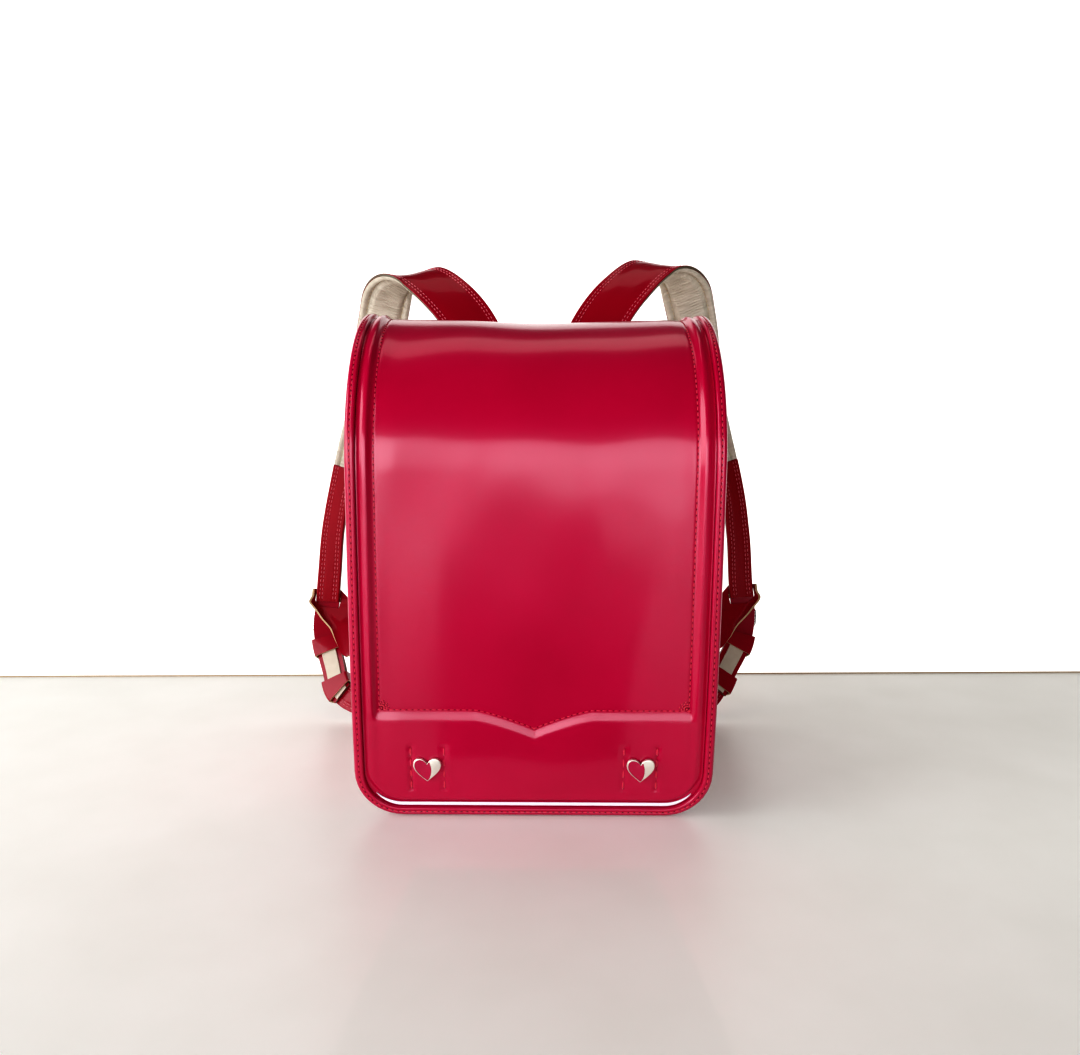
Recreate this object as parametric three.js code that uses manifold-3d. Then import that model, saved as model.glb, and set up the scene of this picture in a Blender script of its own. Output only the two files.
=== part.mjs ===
import * as THREE from 'three';
import { mergeVertices } from 'three/addons/utils/BufferGeometryUtils.js';
import Module from 'manifold-3d';

const wasm = await Module();
wasm.setup();

// A school satchel that stands on its back edge: X across, flap towards -Y, straps behind at +Y.
// Millimetres. The main gusset's middle is at y = 0 until the finished group is centred.

// General
const clearance = 0.3;
const bindingWidth = 7;
const flapWidth = 254;
const bagHeight = 300;
const underside = 12;
// How far a cutting body reaches past the faces that it cuts
const cutPast = 1;

// Main compartment
const gussetWidth = flapWidth - 19;
const gussetDepth = 120;
const gussetWall = 2.5;
const gussetCorner = 22;
const gussetTopDrop = 10;
const frontBoardWall = 3;
const frontBoardDrop = 12;
const frontBoardBinding = 3;
const frontBoardTopCorner = 12;
const backBoardWidth = flapWidth - 1.4;
const backBoardWall = 4;
const backBoardCorner = 28;
const backBoardTopCorner = 10;
const backBindingWidth = 5;
const backBindingLap = 7.3;

// Front pocket
const pocketWidth = gussetWidth - 9;
const pocketDepth = 26;
const pocketTop = 205;
const pocketWall = 2;
const pocketFaceWall = 2.5;
const pocketFaceLap = 2;
const pocketLean = 12;

// Flap
const flapWall = 4;
const flapCorner = 34;
const flapRise = 56;
const archFrontReach = 100;
const archFrontDrop = 108;
const archRearDrop = 45;
const flapTailLength = 36;
const hemLift = 0.5;
const hemTuck = 13;
const bindingRise = 3.5;
const bindingRound = 1.2;
const grooveRise = 0.6;
const sideGroove = 1.2;
const hemGroove = 4.2;
const grooveTurn = 16;
const rollRise = 3;
const rollTop = 14;
const rollFoot = 18.3;
const footRise = 2;
const footHeight = 80;
const footSlope = 7;
const scallopDrop = 13.8;
const scallopHalf = 41.6;
const scallopPower = 1.3;

// Reflective strip and heart studs on the flap
const stripWidth = 2.5;
const stripThickness = 1;
const stripTaper = 0.8;
const heartWidth = 19.6;
const heartHeight = 17.5;
const heartSpread = 150;
const heartUp = 37.5;
const heartThickness = 2.4;
const heartRim = 1.2;
const enamelDepth = 1;
const divisionRadius = 14;
const divisionShift = 11;

// Closing belt and lock under the bag
const beltThickness = 2.2;
const beltTop = 52;
const beltTopHalf = 88;
const beltTipHalf = 24;
const beltTipBack = 73;
const beltDrop = 3.7;
const beltBend = 4;
const lockWidth = 48;
const lockLength = 34;
const lockThickness = 2.9;
const knobRadius = 9;
const knobHeight = 2;

// Back cushion and the plate over the strap roots
const cushionWidth = backBoardWidth - 28.6;
const cushionBottom = 42;
const cushionThickness = 13.4;
const cushionCorner = 24;
const plateHeight = 12;
const plateCorner = 4;
const plateDrop = 14;
const plateSlack = 1.3;
const plateThickness = 2.4;

// Shoulder straps
const strapWidth = 46;
const tipWidth = 23;
const strapThickness = 2.6;
const liningThickness = 5;
const liningRim = 2;
const liningInset = 0.4;
const facingThickness = 1.8;
const backingThickness = 1;
const rootOut = 30;
const rootBelowTop = 16;
const strapSpread = 206;
const strapReach = 102;
const strapRise = 121;
const rootDip = 20;
const ringDip = 90;
const liningStart = 16;
const facingGap = 1;

// Places along a strap, measured back from its ring
const taperStartToRing = 440;
const taperEndToRing = 275;
const liningEndToRing = 305;
const slotToRing = 166;
const facingShort = 3;
const lowerStrapPastSlot = 5;
const backingPastSlot = 10;
const keeperPastSlot = 41;
const keeperPitch = 44;
const tipPastKeeper = 11;

// Strap hardware
const guardThickness = 2.2;
const guardHalf = 21;
const guardLift = 9;
const guardLength = 66;
const guardPassage = 30;
const keeperLength = 16;
const keeperWall = 1.4;
const keeperSlack = 1;
const keeperEase = 0.8;
const buckleWidth = 30;
const buckleLength = 18;
const buckleBar = 3;
const buckleThickness = 2.6;
const buckleDrop = 1;
const wireRadius = 1.6;
const wireBend = 2.4;
const eyeRadius = 4.5;
const ringHeight = 28;
const ringWidth = 14;
const ringOut = gussetWidth / 2 + 0.5;
const ringUp = 17;
const ringTabLength = 24;
const sideRingHeight = 19;
const sideRingWidth = 18;
const sideRingUp = 222;
const sideRingFront = 40;
const sideTabLength = 20;
const tabThickness = 2.2;

// Faces that follow from the sizes above, front to back
const boardBack = -gussetDepth / 2 - clearance;
const boardFront = boardBack - frontBoardWall;
const pocketBack = boardFront - clearance;
const pocketFront = pocketBack - pocketDepth;
const pocketFaceBack = pocketFront - clearance;
const pocketFaceFront = pocketFaceBack - pocketFaceWall;
const beltBack = pocketFaceFront - clearance;
const beltFront = beltBack - beltThickness;
const flapFace = beltFront - clearance - flapWall - hemTuck;
const backBoardInner = gussetDepth / 2 + clearance;
const backBoardOuter = backBoardInner + backBoardWall;
const seatFace = backBoardOuter + clearance;
const flapTail = seatFace + flapWall;
const flapCrest = bagHeight + flapRise;
const rootHeight = bagHeight - rootBelowTop;
const rootFace = flapTail + clearance + strapThickness;
const plateFront = rootFace + plateSlack;
const plateBottom = rootHeight - plateDrop;
const ringPlane = seatFace + eyeRadius;
const facingEndToRing = slotToRing + facingShort;
const lowerStrapToRing = slotToRing - lowerStrapPastSlot;
const backingToRing = slotToRing - backingPastSlot;
const upperKeeperToRing = slotToRing - keeperPastSlot;
const lowerKeeperToRing = upperKeeperToRing - keeperPitch;
const tipEndToRing = lowerKeeperToRing - tipPastKeeper;
const sideTabHeight = sideRingHeight - 2 * wireBend - 3 * wireRadius;

// Strap routes from above the root to before the ring. out, back: shares of the spread and the
// reach. up: a share of the rise where positive, else of the drop from the root to the ring.
// dip, swing: degrees that the strap's width leans down and turns forward.
const strapRows = {
  left: [
    { out: 0.200, back: 0.070, up: 0.317, dip: 30, swing: -2 },
    { out: 0.267, back: 0.190, up: 0.619, dip: 29, swing: -18 },
    { out: 0.375, back: 0.337, up: 0.860, dip: 28, swing: -27 },
    { out: 0.517, back: 0.539, up: 1.034, dip: 17, swing: -27 },
    { out: 0.652, back: 0.690, up: 0.964, dip: 6, swing: -19 },
    { out: 0.712, back: 0.850, up: 0.711, dip: -8, swing: -4 },
    { out: 0.780, back: 0.956, up: 0.207, dip: -10, swing: 5 },
    { out: 0.908, back: 0.970, up: -0.177, dip: -11, swing: 18 },
    { out: 0.971, back: 0.935, up: -0.401, dip: -9, swing: 14 },
    { out: 0.989, back: 0.857, up: -0.583, dip: -3, swing: 3 },
    { out: 0.994, back: 0.773, up: -0.690, dip: 0, swing: 1 },
    { out: 0.995, back: 0.653, up: -0.785, dip: 7, swing: 2 },
    { out: 0.940, back: 0.443, up: -0.895, dip: 24, swing: 3 },
    { out: 0.885, back: 0.265, up: -0.970, dip: 43, swing: -1 },
    { out: 0.763, back: 0.122, up: -1.000, dip: 64, swing: 0 },
  ],
  right: [
    { out: 0.195, back: 0.060, up: 0.322, dip: 30, swing: -1 },
    { out: 0.262, back: 0.160, up: 0.628, dip: 30, swing: -16 },
    { out: 0.378, back: 0.300, up: 0.905, dip: 23, swing: -28 },
    { out: 0.525, back: 0.535, up: 1.110, dip: 13, swing: -29 },
    { out: 0.658, back: 0.705, up: 1.035, dip: 10, swing: -17 },
    { out: 0.735, back: 0.900, up: 0.765, dip: -11, swing: 2 },
    { out: 0.808, back: 0.975, up: 0.209, dip: -9, swing: 8 },
    { out: 0.940, back: 0.935, up: -0.213, dip: -10, swing: 16 },
    { out: 0.984, back: 0.875, up: -0.425, dip: -8, swing: 8 },
    { out: 0.995, back: 0.790, up: -0.605, dip: -4, swing: 0 },
    { out: 1.003, back: 0.700, up: -0.720, dip: 0, swing: 0 },
    { out: 0.975, back: 0.595, up: -0.815, dip: 8, swing: 2 },
    { out: 0.900, back: 0.440, up: -0.900, dip: 26, swing: 3 },
    { out: 0.830, back: 0.280, up: -0.971, dip: 45, swing: 0 },
    { out: 0.740, back: 0.135, up: -1.000, dip: 64, swing: 0 },
  ],
};

// The guard's outline and its crossing of the strap. along: share of the guard's length past the
// slot. half: share of its half width. shift: towards the bag, lift: off the strap's inner side.
const guardRows = [
  { along: -0.24, half: 0.67, shift: -0.14, lift: -0.55 },
  { along: -0.12, half: 0.90, shift: 0.00, lift: -0.45 },
  { along: 0.00, half: 1.00, shift: 0.00, lift: 0.00 },
  { along: 0.18, half: 1.00, shift: 0.19, lift: 0.55 },
  { along: 0.42, half: 0.95, shift: 0.43, lift: 0.90 },
  { along: 0.67, half: 0.80, shift: 0.67, lift: 1.00 },
  { along: 0.91, half: 0.48, shift: 0.86, lift: 1.00 },
  { along: 1.00, half: 0.15, shift: 0.86, lift: 1.00 },
];

// The cushion's rounded edge. inset: share of half the thickness, depth: share of the thickness.
const cushionRows = [
  { inset: 0, depth: 0 },
  { inset: 0, depth: 0.45 },
  { inset: 0.3, depth: 0.85 },
  { inset: 1, depth: 1 },
];

const finishes = {
  red: { color: 0xb0002a, roughness: 0.3, metalness: 0 },
  darkRed: { color: 0x7a0010, roughness: 0.35, metalness: 0 },
  cream: { color: 0xece4ce, roughness: 0.7, metalness: 0 },
  silver: { color: 0xd8d8d4, roughness: 0.25, metalness: 1 },
  enamel: { color: 0xd11a4f, roughness: 0.15, metalness: 0 },
  reflective: { color: 0xe8e4f0, roughness: 0.4, metalness: 0 },
};

const ransel = new THREE.Group();

function addPiece(name, geometry, finish) {
  const mesh = new THREE.Mesh(geometry, new THREE.MeshStandardMaterial(finishes[finish]));
  mesh.name = name;
  ransel.add(mesh);
}

// Evenly spaced numbers from one end to the other
function spread(from, to, steps) {
  return Array.from({ length: steps + 1 }, (_, index) => from + (to - from) * index / steps);
}

function smooth(share) {
  const held = THREE.MathUtils.clamp(share, 0, 1);
  return held * held * (3 - 2 * held);
}

// A closed body from triangles of points, with its faces turned outwards
function bodyOf(triangles) {
  const flat = triangles.flat();
  let volume = 0;
  for (const [a, b, c] of triangles) {
    volume += a.dot(b.clone().cross(c));
  }
  if (volume < 0) {
    flat.reverse();
  }
  const raw = new THREE.BufferGeometry().setFromPoints(flat);
  return withoutSlivers(mergeVertices(raw, 1e-4));
}

// Drops the triangles that have no area because two of their corners are one point
function withoutSlivers(geometry) {
  const index = geometry.index.array;
  const kept = [];
  for (let at = 0; at < index.length; at += 3) {
    const [a, b, c] = index.slice(at, at + 3);
    if (a !== b && b !== c && c !== a) {
      kept.push(a, b, c);
    }
  }
  geometry.setIndex(kept);
  return geometry;
}

function quad(a, b, c, d) {
  return [[a, b, c], [a, c, d]];
}

// A wall between two matching grids of points, closed at its four edges or wrapped across
function wallBetween(outer, inner, wrapped = false) {
  const triangles = [];
  const rows = outer.length;
  const columns = outer[0].length;
  const across = wrapped ? columns : columns - 1;
  for (let row = 0; row < rows - 1; row += 1) {
    for (let column = 0; column < across; column += 1) {
      const next = (column + 1) % columns;
      const [low, high] = [outer[row], outer[row + 1]];
      triangles.push(...quad(low[column], low[next], high[next], high[column]));
      const [a, b] = [inner[row][column], inner[row][next]];
      const [c, d] = [inner[row + 1][next], inner[row + 1][column]];
      triangles.push([a, c, b], [a, d, c]);
    }
  }
  const [lastOuter, lastInner] = [outer[rows - 1], inner[rows - 1]];
  for (let column = 0; column < across; column += 1) {
    const next = (column + 1) % columns;
    triangles.push(...quad(outer[0][next], outer[0][column], inner[0][column], inner[0][next]));
    triangles.push(...quad(lastOuter[column], lastOuter[next], lastInner[next], lastInner[column]));
  }
  for (let row = 0; !wrapped && row < rows - 1; row += 1) {
    const last = columns - 1;
    const [a, b] = [outer[row], outer[row + 1]];
    const [c, d] = [inner[row], inner[row + 1]];
    triangles.push(...quad(a[0], b[0], d[0], c[0]));
    triangles.push(...quad(b[last], a[last], c[last], d[last]));
  }
  return bodyOf(triangles);
}

// A body through convex sections, capped at its ends or joined into a loop
function loftThrough(sections, looped = false) {
  const triangles = [];
  const count = sections[0].length;
  const spans = looped ? sections.length : sections.length - 1;
  for (let at = 0; at < spans; at += 1) {
    const here = sections[at];
    const there = sections[(at + 1) % sections.length];
    for (let corner = 0; corner < count; corner += 1) {
      const next = (corner + 1) % count;
      triangles.push(...quad(here[corner], here[next], there[next], there[corner]));
    }
  }
  for (let corner = 1; !looped && corner < count - 1; corner += 1) {
    const last = sections.at(-1);
    triangles.push([sections[0][0], sections[0][corner + 1], sections[0][corner]]);
    triangles.push([last[0], last[corner], last[corner + 1]]);
  }
  return bodyOf(triangles);
}

function toManifold(geometry) {
  const bare = geometry.clone();
  bare.deleteAttribute('normal');
  bare.deleteAttribute('uv');
  const merged = mergeVertices(bare, 1e-4);
  const vertProperties = new Float32Array(merged.attributes.position.array);
  const triVerts = new Uint32Array(merged.index.array);
  return new wasm.Manifold(new wasm.Mesh({ numProp: 3, vertProperties, triVerts }));
}

function fromManifold(manifold) {
  const mesh = manifold.getMesh();
  const geometry = new THREE.BufferGeometry();
  const positions = new Float32Array(mesh.vertProperties);
  geometry.setAttribute('position', new THREE.BufferAttribute(positions, 3));
  geometry.setIndex(Array.from(mesh.triVerts));
  return geometry;
}

// Extrudes an outline drawn in X and Z backwards from the face at y = front
function boardFrom(shape, front, thickness) {
  const options = { depth: thickness, bevelEnabled: false, curveSegments: 5 };
  const geometry = new THREE.ExtrudeGeometry(shape, options);
  return geometry.rotateX(Math.PI / 2).translate(0, front + thickness, 0);
}

// A rectangle in X and Z with one radius for its bottom corners and one for its top corners
function traceBoard(path, half, bottom, top, bottomRadius, topRadius) {
  const quarter = Math.PI / 2;
  const [lowX, lowZ] = [half - bottomRadius, bottom + bottomRadius];
  const [highX, highZ] = [half - topRadius, top - topRadius];
  path.moveTo(half, lowZ);
  path.lineTo(half, highZ);
  path.absarc(highX, highZ, topRadius, 0, quarter, false);
  path.lineTo(-highX, top);
  path.absarc(-highX, highZ, topRadius, quarter, 2 * quarter, false);
  path.lineTo(-half, lowZ);
  path.absarc(-lowX, lowZ, bottomRadius, 2 * quarter, 3 * quarter, false);
  path.lineTo(lowX, bottom);
  path.absarc(lowX, lowZ, bottomRadius, 3 * quarter, 4 * quarter, false);
  return path;
}

function boardShape(...sizes) {
  return traceBoard(new THREE.Shape(), ...sizes);
}

// A board's outline sizes, moved inwards on all its sides
function insetBoard([half, bottom, top, bottomRadius, topRadius], inset) {
  return [half - inset, bottom + inset, top - inset, bottomRadius - inset, topRadius - inset];
}

// A frame of one width round the edge of a board
function frameShape(sizes, width) {
  const shape = boardShape(...sizes);
  shape.holes.push(traceBoard(new THREE.Path(), ...insetBoard(sizes, width)));
  return shape;
}

// A U in X and Z: two sides and a bottom of one wall, open at the top
function troughShape(half, bottom, top, radius, wall) {
  const shape = new THREE.Shape();
  const inner = radius - wall;
  const centre = half - radius;
  shape.moveTo(-half, top);
  shape.lineTo(-half, bottom + radius);
  shape.absarc(-centre, bottom + radius, radius, Math.PI, 1.5 * Math.PI, false);
  shape.lineTo(centre, bottom);
  shape.absarc(centre, bottom + radius, radius, 1.5 * Math.PI, 2 * Math.PI, false);
  shape.lineTo(half, top);
  shape.lineTo(half - wall, top);
  shape.lineTo(half - wall, bottom + radius);
  shape.absarc(centre, bottom + radius, inner, 2 * Math.PI, 1.5 * Math.PI, true);
  shape.lineTo(-centre, bottom + wall);
  shape.absarc(-centre, bottom + radius, inner, 1.5 * Math.PI, Math.PI, true);
  shape.lineTo(-half + wall, top);
  return shape;
}

// The flap's side profile at panel level, from the hem up the front, over the crest and down behind
function flapProfile() {
  const shoulder = flapCrest - archFrontDrop;
  const crestAt = flapFace + archFrontReach;
  const rearShoulder = flapCrest - archRearDrop;
  const profile = new THREE.CurvePath();
  profile.add(new THREE.CubicBezierCurve(
    new THREE.Vector2(flapFace + hemTuck, hemLift),
    new THREE.Vector2(flapFace, shoulder / 3),
    new THREE.Vector2(flapFace, shoulder * 2 / 3),
    new THREE.Vector2(flapFace, shoulder),
  ));
  profile.add(new THREE.EllipseCurve(
    crestAt, shoulder, archFrontReach, archFrontDrop, Math.PI, Math.PI / 2, true,
  ));
  profile.add(new THREE.EllipseCurve(
    crestAt, rearShoulder, flapTail - crestAt, archRearDrop, Math.PI / 2, 0, true,
  ));
  profile.add(new THREE.LineCurve(
    new THREE.Vector2(flapTail, rearShoulder),
    new THREE.Vector2(flapTail, rearShoulder - flapTailLength),
  ));
  return profile;
}

const profile = flapProfile();
const flapLength = profile.getLength();
const shoulderAt = profile.curves[0].getLength();
const tailAt = flapLength - flapTailLength;

// The point at x across, s along the flap from its hem and h above its panel level
function onFlap(x, s, h) {
  const share = THREE.MathUtils.clamp(s / flapLength, 0, 1);
  const point = profile.getPoint(share);
  const tangent = profile.getTangent(share);
  return new THREE.Vector3(x, point.x - tangent.y * h, point.y + tangent.x * h);
}

// Distance in from the flap's side and hem edges, which meet in round corners
function edgeDistance(x, s) {
  const sideways = Math.abs(x) - (flapWidth / 2 - flapCorner);
  if (sideways > 0 && s < flapCorner) {
    return flapCorner - Math.hypot(sideways, flapCorner - s);
  }
  return Math.min(flapWidth / 2 - Math.abs(x), s);
}

// How far the line above the flap's raised foot drops to its point at the middle
function scallopAt(x) {
  return scallopDrop * Math.max(0, 1 - Math.abs(x) / scallopHalf) ** scallopPower;
}

// Height of the flap's outer face: a groove in the binding, a padded roll and a raised foot
function flapHeight(x, s) {
  const edge = edgeDistance(x, s);
  const hemward = smooth((flapCorner - s) / grooveTurn);
  const grooveEnd = bindingWidth + clearance + sideGroove + (hemGroove - sideGroove) * hemward;
  const line = footHeight - scallopAt(x);
  const foot = footRise * smooth((line - s) / footSlope);
  if (edge <= grooveEnd) {
    return grooveRise;
  }
  const climb = smooth((edge - grooveEnd) / (rollTop - grooveEnd));
  const fall = smooth((edge - rollTop) / (rollFoot - rollTop));
  const roll = grooveRise + (rollRise - grooveRise) * climb;
  return edge < rollTop ? roll : Math.max(rollRise * (1 - fall), foot);
}

// Bends the rows near the foot's line so that they follow its point
function followScallop({ x, s }) {
  const above = (s - footHeight) / (footHeight / 2);
  const below = (footHeight - footSlope - s) / (footHeight / 2 - footSlope);
  const weight = 1 - Math.max(0, Math.min(1, Math.max(above, below)));
  return { x, s: s - scallopAt(x) * weight };
}

// The point on the flap's edge line, moved inwards by inset, at a corner angle from hem to side
function cornerPoint(side, angle, inset) {
  const radius = flapCorner - inset;
  return {
    x: side * (flapWidth / 2 - flapCorner + radius * Math.sin(angle)),
    s: flapCorner - radius * Math.cos(angle),
  };
}

const cornerAngles = spread(0, Math.PI / 2, 4);
const flapRows = [
  ...spread(flapCorner, footHeight - footSlope, 3),
  ...spread(footHeight, shoulderAt, 5),
  ...spread(shoulderAt, tailAt, 12).slice(1),
  flapLength,
];
const scallopColumns = [0, 0.28, 0.6, 1].map((share) => share * scallopHalf);
const plainColumns = spread(scallopHalf, flapWidth / 2 - flapCorner, 2).slice(1);
const rightColumns = [...scallopColumns, ...plainColumns];
const flapColumns = [...rightColumns.slice(1).reverse().map((x) => -x), ...rightColumns];

// Ribs round the flap's open edge, each a function from an inset to a point, left side first
function flapRibs() {
  const ribs = [];
  const half = flapWidth / 2;
  const sideRows = flapRows.slice(1).reverse();
  sideRows.forEach((s) => ribs.push((inset) => ({ x: inset - half, s })));
  cornerAngles.toReversed().forEach((angle) => ribs.push((inset) => cornerPoint(-1, angle, inset)));
  flapColumns.slice(1, -1).forEach((x) => ribs.push((inset) => ({ x, s: inset })));
  cornerAngles.forEach((angle) => ribs.push((inset) => cornerPoint(1, angle, inset)));
  sideRows.toReversed().forEach((s) => ribs.push((inset) => ({ x: half - inset, s })));
  return ribs;
}

// The flap's board: ribs run in from the edge to a plain grid, and the tail closes the outline
function flapBoard() {
  const edgeInset = bindingWidth + clearance;
  const insets = [edgeInset, edgeInset + hemGroove, rollTop, rollFoot, flapCorner];
  const ribs = flapRibs().map((rib) => insets.map(rib));
  const cells = [];
  for (let at = 0; at < ribs.length - 1; at += 1) {
    for (let ring = 0; ring < insets.length - 1; ring += 1) {
      cells.push([ribs[at][ring], ribs[at + 1][ring], ribs[at + 1][ring + 1], ribs[at][ring + 1]]);
    }
  }
  for (let row = 0; row < flapRows.length - 1; row += 1) {
    for (let column = 0; column < flapColumns.length - 1; column += 1) {
      const rows = [flapRows[row], flapRows[row + 1]];
      const [left, right] = [flapColumns[column], flapColumns[column + 1]];
      const [leftSide, rightSide] = [left, right].map((x) => rows.map((s) => ({ x, s })));
      cells.push([leftSide[0], ...rightSide, leftSide[1]]);
    }
  }
  const outer = (point) => onFlap(point.x, point.s, flapHeight(point.x, point.s));
  const inner = (point) => onFlap(point.x, point.s, -flapWall);
  const triangles = [];
  for (const cell of cells) {
    const corners = cell.map(followScallop);
    triangles.push(...quad(...corners.map(outer)));
    const [a, b, c, d] = corners.map(inner);
    triangles.push([a, c, b], [a, d, c]);
  }
  const tailLine = flapColumns.slice(1, -1).reverse().map((x) => ({ x, s: flapLength }));
  const tail = [...ribs.at(-1), ...tailLine];
  const rim = [...ribs.map((rib) => rib[0]), ...tail.slice(1), ...ribs[0].toReversed()];
  for (let at = 0; at < rim.length - 1; at += 1) {
    const [here, there] = [followScallop(rim[at]), followScallop(rim[at + 1])];
    triangles.push(...quad(outer(there), outer(here), inner(here), inner(there)));
  }
  return bodyOf(triangles);
}

// The folded leather binding round the flap's edge, a rounded band as high as the roll
function flapBinding() {
  const outline = [
    { inset: bindingWidth, h: -flapWall },
    { inset: bindingRound, h: -flapWall },
    { inset: 0, h: -flapWall / 2 },
    { inset: 0, h: bindingRise / 2 },
    { inset: bindingRound, h: bindingRise },
    { inset: bindingWidth - bindingRound, h: bindingRise },
    { inset: bindingWidth, h: bindingRise / 2 },
  ];
  const sections = flapRibs().map((rib) => outline.map(({ inset, h }) => {
    const { x, s } = rib(inset);
    return onFlap(x, s, h);
  }));
  return loftThrough(sections);
}

// The light strip in the groove above the hem, narrowing to its ends in the corners
function reflectiveStrip() {
  const lowEdge = bindingWidth + clearance + (hemGroove - stripWidth) / 2;
  const middle = lowEdge + stripWidth / 2;
  const base = grooveRise + clearance;
  const endAngle = Math.PI / 4;
  const angles = cornerAngles.filter((angle) => angle <= endAngle);
  const ribs = [
    ...angles.toReversed().map((angle) => ({ rib: (inset) => cornerPoint(-1, angle, inset), angle })),
    ...flapColumns.slice(1, -1).map((x) => ({ rib: (inset) => ({ x, s: inset }), angle: 0 })),
    ...angles.map((angle) => ({ rib: (inset) => cornerPoint(1, angle, inset), angle })),
  ];
  const sections = ribs.map(({ rib, angle }) => {
    const half = stripWidth / 2 * (1 - stripTaper * angle / endAngle);
    return [[-half, 0], [half, 0], [half, 1], [-half, 1]].map(([offset, level]) => {
      const { x, s } = rib(middle + offset);
      return onFlap(x, s, base + stripThickness * level);
    });
  });
  return loftThrough(sections);
}

// A heart round the origin, its point down, drawn at a share of its full size
function heartShape(share) {
  const [w, h] = [heartWidth / 2 * share, heartHeight / 2 * share];
  const shape = new THREE.Shape();
  shape.moveTo(0, -h);
  shape.bezierCurveTo(w * 0.45, -h * 0.55, w, -h * 0.1, w, h * 0.45);
  shape.bezierCurveTo(w, h * 1.18, w * 0.25, h * 1.18, 0, h * 0.55);
  shape.bezierCurveTo(-w * 0.25, h * 1.18, -w, h * 1.18, -w, h * 0.45);
  shape.bezierCurveTo(-w, -h * 0.1, -w * 0.45, -h * 0.55, 0, -h);
  return shape;
}

// A prism of an outline drawn on the flap's face, between two heights over it
function prismOnFlap(shape, x, s, low, high) {
  const options = { depth: high - low, bevelEnabled: false, curveSegments: 6 };
  const geometry = new THREE.ExtrudeGeometry(shape, options);
  const position = geometry.attributes.position;
  for (let at = 0; at < position.count; at += 1) {
    const point = onFlap(x + position.getX(at), s + position.getY(at), low + position.getZ(at));
    position.setXYZ(at, point.x, point.y, point.z);
  }
  return toManifold(geometry);
}

// Adds a metal heart with a recess on one side of a plain arc, and the enamel that lies in it
function addHeart(side, label) {
  const x = side * heartSpread / 2;
  const base = footRise + clearance;
  const top = base + heartThickness;
  const innerShare = 1 - 2 * heartRim / heartWidth;
  const enamelShare = innerShare - 2 * clearance / heartWidth;
  const disc = (radius) => new THREE.Shape().absarc(-divisionShift, 0, radius, 0, 2 * Math.PI);
  const region = (share, radius, low, high) => {
    const inside = prismOnFlap(disc(radius), x, heartUp, low - cutPast, high + cutPast);
    return prismOnFlap(heartShape(share), x, heartUp, low, high).intersect(inside);
  };
  const recessFloor = top - enamelDepth;
  const plate = prismOnFlap(heartShape(1), x, heartUp, base, top);
  const recess = region(innerShare, divisionRadius, recessFloor, top + cutPast);
  const enamel = region(enamelShare, divisionRadius - clearance, recessFloor + clearance, top);
  addPiece(`heart_${label}`, fromManifold(plate.subtract(recess)), 'silver');
  addPiece(`heart_enamel_${label}`, fromManifold(enamel), 'enamel');
}

// The belt from behind the flap's hem round the front edge to the lock under the bag
function closingBelt() {
  const front = (beltBack + beltFront) / 2;
  const level = underside - beltDrop - beltThickness / 2;
  const tip = front + beltTipBack;
  const lean = pocketLean * (beltTop - underside) / (pocketTop - underside);
  const route = new THREE.CurvePath();
  route.add(new THREE.LineCurve(
    new THREE.Vector2(front - lean, beltTop),
    new THREE.Vector2(front, level + beltBend),
  ));
  route.add(new THREE.EllipseCurve(
    front + beltBend, level + beltBend, beltBend, beltBend, Math.PI, 1.5 * Math.PI, false,
  ));
  route.add(new THREE.LineCurve(
    new THREE.Vector2(front + beltBend, level),
    new THREE.Vector2(tip, level),
  ));
  const length = route.getLength();
  const bendStart = route.curves[0].getLength();
  const bendEnd = bendStart + route.curves[1].getLength();
  const stops = [
    ...spread(0, bendStart, 2),
    ...spread(bendStart, bendEnd, 5).slice(1),
    ...spread(bendEnd, length, 5).slice(1),
  ];
  const sheet = (offset) => stops.map((stop) => {
    const point = route.getPoint(stop / length);
    const tangent = route.getTangent(stop / length);
    const half = THREE.MathUtils.lerp(beltTopHalf, beltTipHalf, smooth(stop / length));
    const [y, z] = [point.x + tangent.y * offset, point.y - tangent.x * offset];
    return [-half, half].map((x) => new THREE.Vector3(x, y, z));
  });
  return wallBetween(sheet(beltThickness / 2), sheet(-beltThickness / 2));
}

// The lock under the belt's tip: a plain plate with a round knob
function lockBody() {
  const top = underside - beltDrop - beltThickness - clearance;
  const y = (beltBack + beltFront) / 2 + beltTipBack - lockLength / 2;
  const middle = top - lockThickness / 2;
  const knobFoot = top - lockThickness - knobHeight;
  const plate = new THREE.BoxGeometry(lockWidth, lockLength, lockThickness);
  plate.translate(0, y, middle);
  const knob = new THREE.CylinderGeometry(knobRadius, knobRadius, middle - knobFoot, 20);
  knob.rotateX(Math.PI / 2).translate(0, y, (middle + knobFoot) / 2);
  return fromManifold(toManifold(plate).add(toManifold(knob)));
}

// The padded back cushion: a board with its edges rolled over
function backCushion() {
  const half = cushionWidth / 2;
  const top = plateBottom - clearance;
  const roll = cushionThickness / 2;
  const outlineAt = (inset) => {
    const radius = cushionCorner - inset;
    const shape = boardShape(half - inset, cushionBottom + inset, top - inset, radius, radius);
    return shape.extractPoints(5).shape;
  };
  const sections = cushionRows.map(({ inset, depth }) => {
    const face = seatFace + depth * cushionThickness;
    return outlineAt(inset * roll).map((point) => new THREE.Vector3(point.x, face, point.y));
  });
  return loftThrough(sections);
}

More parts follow.
